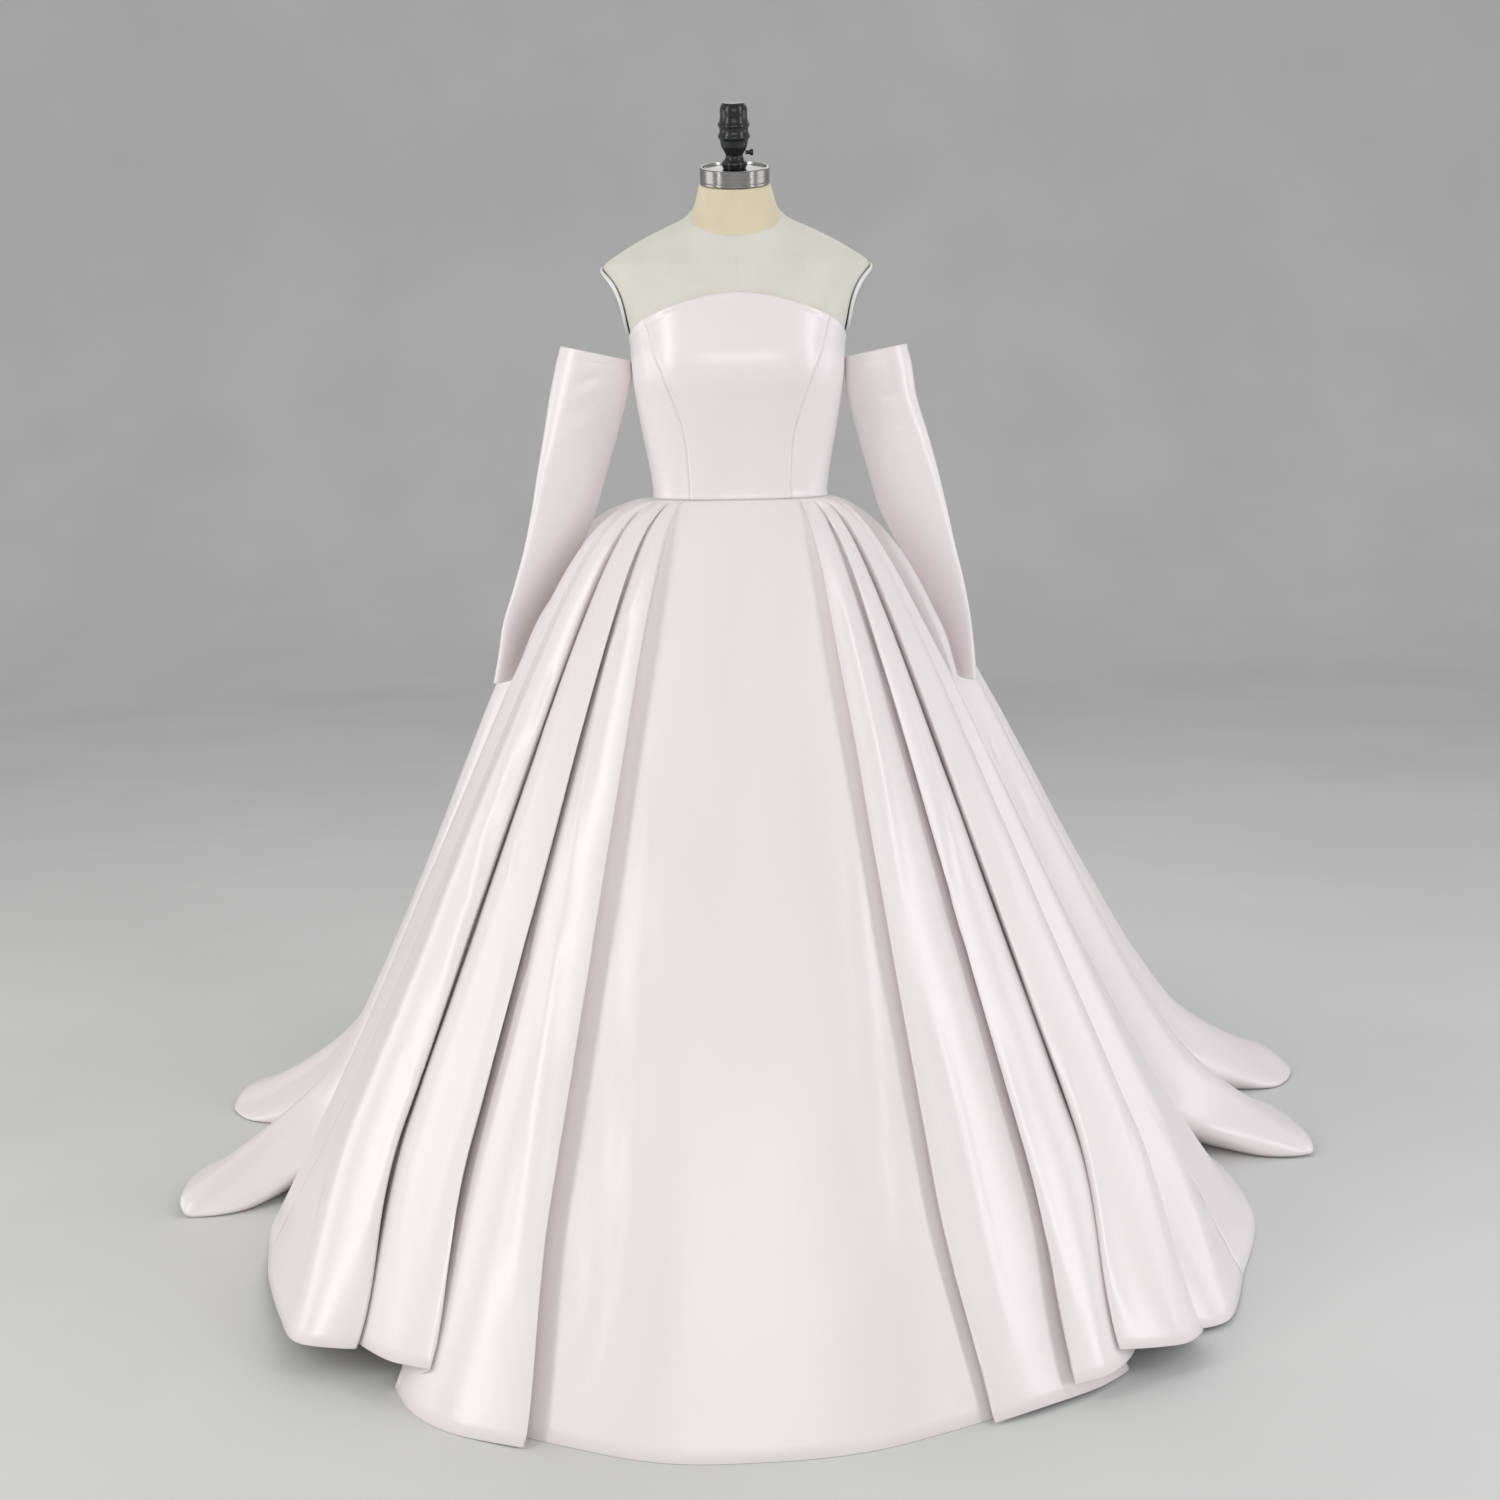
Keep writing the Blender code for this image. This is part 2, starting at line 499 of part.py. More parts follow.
def build_screw(seat, height, look):
    """Small thumb screw that stands out of the knob's neck on the right."""
    heights = [row.height for row in KNOB]
    radii = [row.radius for row in KNOB]
    start = float(np.interp(SCREW_HEIGHT + SCREW_RADIUS, heights, radii)) + GAP
    lean = math.radians(NECK_TILT)
    middle_y = seat[1] - height * math.sin(lean)
    middle_z = seat[2] + height * math.cos(lean)
    angles = np.linspace(0, 2 * math.pi, SCREW_SEGMENTS, endpoint=False)
    head_x = start + SCREW_SHANK
    profile = (
        (start, SCREW_RADIUS),
        (head_x, SCREW_RADIUS),
        (head_x + 0.0006, SCREW_HEAD_RADIUS),
        (head_x + SCREW_HEAD - 0.0008, SCREW_HEAD_RADIUS),
        (head_x + SCREW_HEAD, SCREW_HEAD_RADIUS - 0.001),
    )
    rings = [
        np.stack(
            [np.full_like(angles, x), middle_y + r * np.cos(angles), middle_z + r * np.sin(angles)], -1
        )
        for x, r in profile
    ]
    stacked_rings("knob_screw", rings, look)


def bodice_seam(z, field):
    """Angle of a bodice seam, in degrees, at a height."""
    return smooth_at([row.z for row in BODICE_SEAMS], [getattr(row, field) for row in BODICE_SEAMS], z)


def bodice_top(degrees):
    """Height of the bodice's top edge at an angle from the front."""
    return smooth_at([row.degrees for row in BODICE_TOP], [row.z for row in BODICE_TOP], abs(degrees))


def bodice_grid(start, end):
    """Points on the form under a bodice panel, from its top edge down to the waist."""
    columns = 1 + math.ceil((end(WAIST_Z) - start(WAIST_Z)) / BODICE_COLUMN_DEGREES)
    shares = np.linspace(0, 1, columns)
    levels = [row.z for row in FORM if WAIST_Z <= row.z <= BODICE_FULL_Z]
    rows = len(levels) + BODICE_TOP_ROWS
    grid = np.zeros((rows, columns, 3))
    for row in range(rows):
        rise = (row - len(levels) + 1) / BODICE_TOP_ROWS
        for column, share in enumerate(shares):
            z = levels[min(row, len(levels) - 1)]
            for _ in range(4):
                degrees = (1 - share) * start(z) + share * end(z)
                if rise > 0:
                    z = BODICE_FULL_Z + (bodice_top(degrees) - BODICE_FULL_Z) * rise
            grid[rows - 1 - row, column] = form_point(np.radians(degrees), np.asarray(z))
    return grid


def build_bodice():
    """Five panels: centre front, two side fronts and two backs that meet at the zip."""
    look = material("satin", SATIN)

    def seam(field, side):
        return lambda z: side * bodice_seam(z, field)

    def back(side):
        return lambda z: side * 180.0

    panels = (
        ("bodice_center_front", seam("princess", -1), seam("princess", 1)),
        ("bodice_side_front_left", seam("side", -1), seam("princess", -1)),
        ("bodice_side_front_right", seam("princess", 1), seam("side", 1)),
        ("bodice_back_left", back(-1), seam("side", -1)),
        ("bodice_back_right", seam("side", 1), back(1)),
    )
    for name, start, end in panels:
        grid = bodice_grid(start, end)
        normal = surface_normals(grid, False)
        inner = grid + normal * BODICE_CLEAR
        outer = grid + normal * (BODICE_CLEAR + CLOTH)
        outer[-1, :, 2] = inner[-1, :, 2] = WAIST_Z
        trim_ends(outer, inner)
        wall(name, outer, inner, look)


def trim_ends(outer, inner):
    """Draw both upright edges of a panel in, so that panels stand a gap apart at a seam."""
    for edge, inside in ((0, 1), (-1, -2)):
        for side in (outer, inner):
            side[:, edge] += unit(side[:, inside] - side[:, edge]) * SEAM_TRIM


def fold_line(fold, side, shares):
    """Points of one ridge or crease from the waist to the hem."""
    waist = math.radians(fold.waist)
    row = form_point(np.asarray(waist), np.asarray(WAIST_Z))
    waist_radius = math.hypot(row[0], row[1]) + BODICE_CLEAR + CLOTH
    settle = 1 - np.exp(-((shares / WAIST_SPRING_DEPTH) ** WAIST_SPRING_POWER))
    width = fold.spring * settle + (1 - fold.spring) * shares
    width = width / width[-1]
    tuck = fold.tuck * (1 - np.exp(-shares / TUCK_DEPTH)) * (1 - shares) ** 0.5
    radius = waist_radius + (fold.radius - waist_radius) * width - tuck
    start = (waist_radius / radius) ** FOLD_TURN_POWER
    start = (start - start[-1]) / (1 - start[-1])
    turn = np.clip((width - LOBE_TURN_START) / (1 - LOBE_TURN_START), 0, 1)
    turn = turn * turn * (3 - 2 * turn)
    degrees = fold.way + (fold.waist - fold.way) * start + (fold.hem - fold.way) * turn
    angle = np.radians(degrees) * side
    fall = (1 - shares) * (1 - fold.flat * shares**2)
    z = fold.lift + (WAIST_Z - GAP - fold.lift) * fall
    return np.stack([radius * np.sin(angle), -radius * np.cos(angle), z], -1)


def skirt_lines(shares):
    """Fold lines all round, from the centre back by the left, the front and the right."""
    lines = [("L", CENTER_BACK, -1)]
    lines += [("L", fold, -1) for fold in reversed(LEFT_FOLDS)]
    lines += [("F", CENTER_FRONT, 1)]
    lines += [("R", fold, 1) for fold in RIGHT_FOLDS]
    names = [(side, fold.name) for side, fold, _ in lines] + [("R", CENTER_BACK.name)]
    points = [fold_line(fold, sign, shares) for _, fold, sign in lines]
    return names, np.stack(points, axis=1)


def between_folds(lines, steps):
    """Fill the surface between the fold lines, round the closed skirt, with smooth curves."""
    before = np.roll(lines, 1, axis=1)
    after = np.roll(lines, -1, axis=1)
    second = np.roll(lines, -2, axis=1)
    columns = []
    for step in range(steps):
        t = step / steps
        columns.append(
            0.5
            * (
                2 * lines
                + (after - before) * t
                + (2 * before - 5 * lines + 4 * after - second) * t**2
                + (3 * lines - before - 3 * after + second) * t**3
            )
        )
    rows, count = lines.shape[:2]
    return np.stack(columns, axis=2).reshape(rows, count * steps, 3)


def build_skirt():
    """Seven skirt panels, cut from one pleated surface at its creases."""
    look = material("satin", SATIN)
    names, lines = skirt_lines(np.asarray(SKIRT_ROWS))
    surface = between_folds(lines, PLEAT_STEPS)
    surface[..., 2] = np.maximum(surface[..., 2], HEM_Z)
    normal = surface_normals(surface, True)
    inner_all = surface - normal * CLOTH
    inner_all[..., 2] = np.maximum(inner_all[..., 2], GAP)
    surface = np.concatenate([surface, surface[:, :1]], axis=1)
    inner_all = np.concatenate([inner_all, inner_all[:, :1]], axis=1)
    for piece in SKIRT_PIECES:
        start = names.index((piece.start_side, piece.start)) * PLEAT_STEPS
        end = names.index((piece.end_side, piece.end)) * PLEAT_STEPS
        outer = surface[:, start : end + 1].copy()
        inner = inner_all[:, start : end + 1].copy()
        trim_ends(outer, inner)
        wall(piece.name, outer, inner, look)


def sleeve_grid(table, inset):
    """Rings of a sleeve from its top edge to the cuff, drawn in by inset."""
    angles = np.linspace(0, 2 * math.pi, SLEEVE_SEGMENTS, endpoint=False)
    rings = []
    for row in table:
        turn = math.radians(row.turn) * (-1 if row.x < 0 else 1)
        across = (row.half_width - inset) * np.cos(angles)
        deep = (row.half_depth - inset) * np.sin(angles)
        x = across * math.cos(turn) + deep * math.sin(turn)
        y = -across * math.sin(turn) + deep * math.cos(turn)
        rings.append(np.stack([row.x + x, row.y + y, row.z + row.slope * x], -1))
    return np.stack(rings)


def build_sleeves():
    """Two open tubes that hang from the bodice's sides and pass beside the skirt.

    Each is kept as an upper and a lower length that meet a gap apart at the elbow.
    """
    look = material("satin", SATIN)
    for name, table in (("sleeve_left", LEFT_SLEEVE), ("sleeve_right", RIGHT_SLEEVE)):
        sides = sleeve_grid(table, 0.0), sleeve_grid(table, SLEEVE_CLOTH)
        upper = [side[: SLEEVE_SPLIT_ROW + 1].copy() for side in sides]
        lower = [side[SLEEVE_SPLIT_ROW:].copy() for side in sides]
        for side in upper:
            side[-1] += unit(side[-2] - side[-1]) * SEAM_TRIM
        for side in lower:
            side[0] += unit(side[1] - side[0]) * SEAM_TRIM
        wall(name + "_upper", *upper, look, closed=True)
        wall(name + "_lower", *lower, look, closed=True)


def main():
    """Clear the scene and build every piece."""
    for old in list(bpy.data.objects):
        bpy.data.objects.remove(old, do_unlink=True)
    build_stand()
    build_form()
    build_neck_fittings()
    build_bodice()
    build_skirt()
    build_sleeves()


main()
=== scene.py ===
"""Wedding dress on a limbless dress form: the dressed model and the studio it is seen in.

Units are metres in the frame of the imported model: +Z is up, the front of the dress faces -Y and
the image's left is -X. The tables of folds, seams and sections are those of the model's own
source, read here at a finer pitch, and the cloth gets its creases, seams and weave on top.
"""
import logging
import math
from dataclasses import dataclass, field
from enum import Enum
from typing import Callable, NamedTuple, Sequence, Union

import bpy
import numpy as np
from mathutils import Matrix


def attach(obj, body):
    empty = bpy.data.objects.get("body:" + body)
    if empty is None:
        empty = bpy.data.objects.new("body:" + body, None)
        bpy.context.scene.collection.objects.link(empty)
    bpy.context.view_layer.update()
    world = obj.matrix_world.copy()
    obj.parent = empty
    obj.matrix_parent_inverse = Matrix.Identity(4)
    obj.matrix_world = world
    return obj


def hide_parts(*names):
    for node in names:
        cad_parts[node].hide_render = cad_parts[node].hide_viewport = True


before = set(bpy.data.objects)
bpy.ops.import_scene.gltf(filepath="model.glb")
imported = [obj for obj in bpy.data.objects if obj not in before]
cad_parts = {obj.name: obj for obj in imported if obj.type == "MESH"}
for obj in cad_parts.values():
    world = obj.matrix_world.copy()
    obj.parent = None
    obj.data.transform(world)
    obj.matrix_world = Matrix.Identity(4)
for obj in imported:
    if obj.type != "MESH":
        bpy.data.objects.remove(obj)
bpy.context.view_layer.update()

LOG = logging.getLogger("wedding_dress")
MILLIMETRE = 0.001

# Sizes shared with the model's source
GAP = 0.0003
WAIST_Z = 1.070
CLOTH = 0.0020
BODICE_CLEAR = 0.0012
WAIST_SPRING_DEPTH = 0.030
WAIST_SPRING_POWER = 0.6
FOLD_TURN_POWER = 1.2
LOBE_TURN_START = 0.78
TUCK_DEPTH = 0.06
HEM_Z = 0.0010
BODICE_FULL_Z = 1.255
NECK_TILT = 15.0


class Section(NamedTuple):
    """One level section of the dress form."""

    z: float
    half_width: float
    front: float
    back: float
    power: float
    tilt: float
    shift: float


class TopEdge(NamedTuple):
    """Height of the bodice's top edge at an angle from the front."""

    degrees: float
    z: float


class SeamRow(NamedTuple):
    """Angles of the princess and side seams at a height."""

    z: float
    princess: float
    side: float


class Fold(NamedTuple):
    """One ridge or crease of the skirt, from the waist to the hem."""

    name: str
    waist: float
    way: float
    hem: float
    radius: float
    lift: float
    spring: float
    flat: float
    tuck: float


class SkirtPiece(NamedTuple):
    """One cut panel of the skirt, between two named folds."""

    name: str
    start_side: str
    start: str
    end_side: str
    end: str


class SleeveRow(NamedTuple):
    """One oval section of a hanging sleeve."""

    z: float
    x: float
    y: float
    half_width: float
    half_depth: float
    turn: float
    slope: float


class KnobRow(NamedTuple):
    """One level of the turned knob."""

    height: float
    radius: float


class Crease(NamedTuple):
    """One crease or ridge, placed one by one.

    The path's points count across first and down second: in folds from the centre back by the left
    for the skirt, in shares of the way round for a sleeve, and in shares of the way down for both.
    """

    width_mm: float
    height_mm: float
    path: tuple[tuple[float, float], ...]


# Height, half width, front and back depth, corner power, forward tilt in degrees, shift in Y
FORM = (
    Section(0.790, 0.146, 0.098, 0.108, 2.2, 0.0, 0.0),
    Section(0.830, 0.158, 0.108, 0.118, 2.2, 0.0, 0.0),
    Section(0.880, 0.163, 0.111, 0.122, 2.2, 0.0, 0.0),
    Section(0.940, 0.155, 0.106, 0.114, 2.2, 0.0, 0.0),
    Section(1.000, 0.135, 0.096, 0.097, 2.2, 0.0, 0.0),
    Section(1.040, 0.1215, 0.089, 0.086, 2.2, 0.0, 0.0),
    Section(1.070, 0.1155, 0.0855, 0.081, 2.2, 0.0, 0.0),
    Section(1.105, 0.1185, 0.0890, 0.083, 2.25, 0.0, 0.0),
    Section(1.150, 0.1265, 0.0975, 0.088, 2.35, 0.0, 0.0),
    Section(1.195, 0.1340, 0.1110, 0.094, 2.5, 0.0, 0.0),
    Section(1.230, 0.1385, 0.1220, 0.098, 2.7, 0.0, 0.0),
    Section(1.255, 0.1402, 0.1240, 0.100, 2.75, 0.0, 0.0),
    Section(1.285, 0.1425, 0.1170, 0.102, 2.65, 0.0, 0.0),
    Section(1.320, 0.1520, 0.1050, 0.102, 2.45, 0.0, 0.0),
    Section(1.352, 0.1665, 0.0900, 0.098, 2.3, 0.0, 0.0),
    Section(1.370, 0.1750, 0.0805, 0.0930, 2.23, 0.0, 0.0),
    Section(1.378, 0.1778, 0.0765, 0.0905, 2.2, 0.0, 0.0),
    Section(1.383, 0.1735, 0.0735, 0.0875, 2.17, 0.5, 0.0),
    Section(1.394, 0.1570, 0.0680, 0.0820, 2.1, 2.0, 0.0),
    Section(1.410, 0.1300, 0.0620, 0.0740, 2.05, 4.0, 0.0),
    Section(1.425, 0.0990, 0.0580, 0.067, 2.0, 7.0, -0.001),
    Section(1.438, 0.0700, 0.0550, 0.061, 2.0, 10.0, -0.002),
    Section(1.450, 0.0575, 0.0520, 0.055, 2.0, 12.0, -0.004),
    Section(1.466, 0.0515, 0.0485, 0.050, 2.0, 14.0, -0.007),
    Section(1.4815, 0.0475, 0.0470, 0.0470, 2.0, NECK_TILT, -0.010),
)
# Height of the bodice top edge by angle, and each seam angle from the waist upwards
BODICE_TOP = (
    TopEdge(0, 1.336),
    TopEdge(25, 1.330),
    TopEdge(45, 1.317),
    TopEdge(58, 1.304),
    TopEdge(72, 1.289),
    TopEdge(90, 1.277),
    TopEdge(115, 1.268),
    TopEdge(180, 1.262),
)
BODICE_SEAMS = (
    SeamRow(1.070, 42.0, 94.0),
    SeamRow(1.110, 40.5, 94.0),
    SeamRow(1.150, 39.0, 94.0),
    SeamRow(1.195, 40.5, 94.0),
    SeamRow(1.235, 43.5, 94.0),
    SeamRow(1.275, 51.0, 94.0),
    SeamRow(1.310, 58.0, 94.0),
)
# Skirt: a row for each ridge and crease, from the centre front round to the centre back.
# Angles are in degrees from the front: at the waist, on the way down, and at the hem.
# lift is the hem's height, spring the share of the width that stands out at the waist, flat
# how far it runs out along the floor, and tuck how far a crease lies in.
CENTER_FRONT = Fold("center_front", 0, 0, 0, 0.636, 0.0010, 0.06, 0.06, 0.0)
CENTER_BACK = Fold("center_back", 180, 180, 180, 1.270, 0.0040, 0.12, 0.92, 0.0)
LEFT_FOLDS = (
    Fold("panel_half", 23, 12, 12, 0.641, 0.0010, 0.07, 0.06, 0.0),
    Fold("under_a", 44.3, 30, 29.5, 0.634, 0.0010, 0.10, 0.06, 0.004),
    Fold("edge_a", 45.5, 26.1, 24.3, 0.655, 0.0030, 0.12, 0.06, -0.003),
    Fold("face_a", 47.5, 33, 33, 0.664, 0.0010, 0.13, 0.06, -0.002),
    Fold("face_a_wide", 49.2, 39, 39.5, 0.655, 0.0010, 0.13, 0.08, 0.0),
    Fold("under_b", 50.6, 45.5, 45, 0.630, 0.0030, 0.128, 0.08, 0.004),
    Fold("edge_b", 51.8, 41.1, 37.7, 0.640, 0.0560, 0.133, 0.08, -0.002),
    Fold("face_b", 58, 50, 43.5, 0.648, 0.0500, 0.135, 0.08, -0.003),
    Fold("face_b_wide", 63, 56, 50, 0.644, 0.0440, 0.13, 0.08, 0.0),
    Fold("under_c", 66, 60, 55, 0.634, 0.0350, 0.128, 0.08, 0.005),
    Fold("edge_c", 67.5, 56.6, 49.8, 0.651, 0.0420, 0.133, 0.08, -0.002),
    Fold("face_c", 71, 63, 55.5, 0.700, 0.0400, 0.14, 0.08, -0.003),
    Fold("face_c_mid", 75, 70, 64, 0.690, 0.0280, 0.14, 0.08, 0.0),
    Fold("face_c_low", 79, 76, 77, 0.688, 0.0140, 0.14, 0.08, 0.0),
    Fold("crease_cd", 84, 80, 87, 0.700, 0.0030, 0.14, 0.08, 0.012),
    Fold("fold_d", 89, 91, 96, 0.722, 0.0015, 0.14, 0.21, -0.006),
    Fold("fold_d_turn", 94, 96.5, 105, 0.727, 0.0020, 0.105, 0.34, 0.0),
    Fold("crease_de", 99, 102, 111, 0.738, 0.0015, 0.09, 0.56, 0.016),
    Fold("lobe_e_front", 103, 107.5, 99, 0.776, 0.0020, 0.165, 0.77, 0.0),
    Fold("lobe_e_tip", 106, 111, 96.4, 0.856, 0.0030, 0.175, 0.79, -0.004),
    Fold("lobe_e_ridge", 109, 114, 98.5, 0.878, 0.0260, 0.175, 0.77, -0.004),
    Fold("lobe_e_back", 113, 117.5, 106, 0.890, 0.0260, 0.165, 0.77, 0.0),
    Fold("crease_ef", 117, 121.5, 121, 0.890, 0.0015, 0.14, 0.80, 0.016),
    Fold("lobe_f_front", 121, 125, 120.5, 0.995, 0.0020, 0.13, 0.81, 0.0),
    Fold("lobe_f_tip", 124.5, 127.5, 122, 1.058, 0.0060, 0.13, 0.81, -0.004),
    Fold("lobe_f_ridge", 128, 130, 125.5, 1.076, 0.0300, 0.13, 0.79, -0.004),
    Fold("lobe_f_back", 132, 133.5, 133.5, 1.066, 0.0150, 0.13, 0.84, 0.0),
    Fold("crease_fg", 137, 139, 141, 1.020, 0.0015, 0.12, 0.89, 0.018),
    Fold("fold_g", 146, 148, 150, 1.150, 0.0040, 0.12, 0.89, -0.004),
    Fold("crease_gh", 154, 156, 158, 1.100, 0.0015, 0.12, 0.91, 0.016),
    Fold("fold_h", 163, 165, 166, 1.235, 0.0040, 0.12, 0.91, -0.004),
    Fold("crease_hi", 171, 172, 173, 1.195, 0.0015, 0.12, 0.92, 0.014),
)
RIGHT_FOLDS = (
    Fold("panel_half", 23, 13, 13.5, 0.628, 0.0010, 0.07, 0.06, 0.0),
    Fold("under_a", 44.3, 29, 32, 0.616, 0.0010, 0.09, 0.06, 0.004),
    Fold("edge_a", 45.6, 24.8, 26.7, 0.628, 0.0040, 0.105, 0.06, -0.003),
    Fold("face_a", 48.5, 32, 32.5, 0.634, 0.0080, 0.11, 0.06, -0.003),
    Fold("face_a_wide", 51, 38, 41, 0.640, 0.0060, 0.11, 0.06, 0.0),
    Fold("under_b", 52.8, 43.5, 47, 0.636, 0.0030, 0.104, 0.06, 0.004),
    Fold("edge_b", 54, 39.3, 36.7, 0.644, 0.0280, 0.115, 0.06, -0.004),
    Fold("face_b", 57.5, 45, 40.5, 0.658, 0.0310, 0.115, 0.06, -0.003),
    Fold("face_b_wide", 60, 50, 45, 0.652, 0.0320, 0.11, 0.06, 0.0),
    Fold("under_c", 61.8, 53, 49.6, 0.632, 0.0300, 0.104, 0.06, 0.005),
    Fold("edge_c", 63, 49.5, 43.0, 0.652, 0.0520, 0.115, 0.06, -0.004),
    Fold("face_c", 68, 57, 50.5, 0.688, 0.0380, 0.11, 0.08, -0.003),
    Fold("face_c_wide", 73, 62.5, 56.5, 0.684, 0.0260, 0.10, 0.08, -0.002),
    Fold("crease_cd", 77, 67, 58.5, 0.660, 0.0100, 0.09, 0.08, 0.012),
    Fold("fold_d", 84, 76, 64, 0.694, 0.0060, 0.085, 0.11, -0.004),
    Fold("crease_de", 90, 84, 76, 0.694, 0.0030, 0.06, 0.16, 0.006),
    Fold("fold_e", 94, 91.5, 92, 0.738, 0.0015, 0.055, 0.42, -0.004),
    Fold("fold_e_turn", 98, 97.5, 108, 0.772, 0.0020, 0.06, 0.62, 0.0),
    Fold("crease_ef", 102, 103.5, 117, 0.770, 0.0015, 0.08, 0.70, 0.014),
    Fold("lobe_f_front", 105, 110.5, 108, 0.850, 0.0020, 0.095, 0.77, 0.0),
    Fold("lobe_f_tip", 108, 114, 106.5, 0.925, 0.0060, 0.105, 0.72, -0.004),
    Fold("lobe_f_ridge", 111, 116.5, 109.5, 0.945, 0.0230, 0.11, 0.72, -0.004),
    Fold("lobe_f_back", 114, 119.5, 117.5, 0.965, 0.0250, 0.115, 0.74, 0.0),
    Fold("crease_fg", 118, 123.5, 127, 0.960, 0.0015, 0.13, 0.77, 0.016),
    Fold("lobe_g_front", 122, 127, 122.5, 1.075, 0.0020, 0.13, 0.77, 0.0),
    Fold("lobe_g_tip", 126, 129, 124.5, 1.165, 0.0080, 0.13, 0.74, -0.004),
    Fold("lobe_g_ridge", 130, 132, 128.5, 1.165, 0.0380, 0.13, 0.74, -0.004),
    Fold("lobe_g_back", 134, 135.5, 134, 1.130, 0.0200, 0.12, 0.83, 0.0),
    Fold("crease_gh", 139, 140, 141, 1.060, 0.0015, 0.12, 0.89, 0.018),
    Fold("fold_h", 147, 149, 150, 1.175, 0.0040, 0.12, 0.89, -0.004),
    Fold("crease_hi", 155, 157, 158, 1.115, 0.0015, 0.12, 0.91, 0.016),
    Fold("fold_i", 163, 165, 166, 1.245, 0.0040, 0.12, 0.91, -0.004),
    Fold("crease_ij", 171, 172, 173, 1.205, 0.0015, 0.12, 0.92, 0.014),
)
# Each skirt panel runs between two named folds; L and R are the sides of the table
SKIRT_PIECES = (
    SkirtPiece("skirt_center_front", "L", "under_a", "R", "under_a"),
    SkirtPiece("skirt_side_front_left", "L", "crease_cd", "L", "under_a"),
    SkirtPiece("skirt_side_back_left", "L", "crease_fg", "L", "crease_cd"),
    SkirtPiece("skirt_back_left", "L", "center_back", "L", "crease_fg"),
    SkirtPiece("skirt_side_front_right", "R", "under_a", "R", "crease_de"),
    SkirtPiece("skirt_side_back_right", "R", "crease_de", "R", "crease_gh"),
    SkirtPiece("skirt_back_right", "R", "crease_gh", "R", "center_back"),
)
# Sleeves: a row for each section of the hanging tube, from its top edge to the cuff
LEFT_SLEEVE = (
    SleeveRow(1.264, -0.1915, 0.000, 0.0478, 0.026, 0, -0.22),
    SleeveRow(1.238, -0.1955, 0.000, 0.0518, 0.025, 0, -0.14),
    SleeveRow(1.200, -0.2050, 0.002, 0.0520, 0.024, 2, -0.06),
    SleeveRow(1.150, -0.2175, 0.006, 0.0495, 0.022, 5, -0.03),
    SleeveRow(1.100, -0.2310, 0.012, 0.0475, 0.020, 9, 0.0),
    SleeveRow(1.050, -0.2440, 0.022, 0.0455, 0.018, 16, 0.0),
    SleeveRow(1.000, -0.2620, 0.030, 0.0425, 0.016, 30, 0.0),
    SleeveRow(0.950, -0.2853, 0.036, 0.0400, 0.014, 44, 0.0),
    SleeveRow(0.900, -0.3103, 0.040, 0.0370, 0.012, 58, 0.0),
    SleeveRow(0.860, -0.3240, 0.042, 0.0340, 0.011, 68, 0.0),
    SleeveRow(0.816, -0.3378, 0.043, 0.0320, 0.010, 76, 0.0),
)
RIGHT_SLEEVE = (
    SleeveRow(1.262, 0.1860, 0.000, 0.0420, 0.025, 0, 0.19),
    SleeveRow(1.236, 0.1893, 0.000, 0.0456, 0.025, 0, 0.10),
    SleeveRow(1.200, 0.1945, 0.002, 0.0470, 0.024, 2, 0.0),
    SleeveRow(1.150, 0.2085, 0.006, 0.0480, 0.022, 5, 0.0),
    SleeveRow(1.100, 0.2230, 0.012, 0.0480, 0.020, 9, 0.0),
    SleeveRow(1.050, 0.2370, 0.022, 0.0470, 0.018, 16, 0.0),
    SleeveRow(1.000, 0.2560, 0.032, 0.0430, 0.016, 30, 0.0),
    SleeveRow(0.950, 0.2770, 0.042, 0.0400, 0.014, 46, 0.0),
    SleeveRow(0.900, 0.2950, 0.050, 0.0370, 0.012, 58, 0.0),
    SleeveRow(0.860, 0.3064, 0.054, 0.0340, 0.011, 68, 0.0),
    SleeveRow(0.808, 0.3160, 0.056, 0.0320, 0.010, 78, 0.0),
)
# Black knob above the neck cap: height over the cap plate and radius
KNOB = (
    KnobRow(0.0000, 0.0150),
    KnobRow(0.0030, 0.0162),
    KnobRow(0.0080, 0.0164),
    KnobRow(0.0125, 0.0125),
    KnobRow(0.0165, 0.0114),
    KnobRow(0.0215, 0.0134),
    KnobRow(0.0270, 0.0166),
    KnobRow(0.0370, 0.0192),
    KnobRow(0.0410, 0.0214),
    KnobRow(0.0450, 0.0196),
    KnobRow(0.0490, 0.0188),
    KnobRow(0.0525, 0.0196),
    KnobRow(0.0560, 0.0212),
    KnobRow(0.0600, 0.0190),
    KnobRow(0.0640, 0.0182),
    KnobRow(0.0800, 0.0164),
    KnobRow(0.0835, 0.0140),
)

class Side(Enum):
    """Side of the dress as the camera sees it, with its sign in X."""

    LEFT = -1
    RIGHT = 1

    @property
    def word(self) -> str:
        """Name used in the model's node names."""
        return "left" if self is Side.LEFT else "right"


class Pull(Enum):
    """Whether a press line in the cloth sinks in or stands out."""

    TROUGH = -1.0
    RIDGE = 1.0


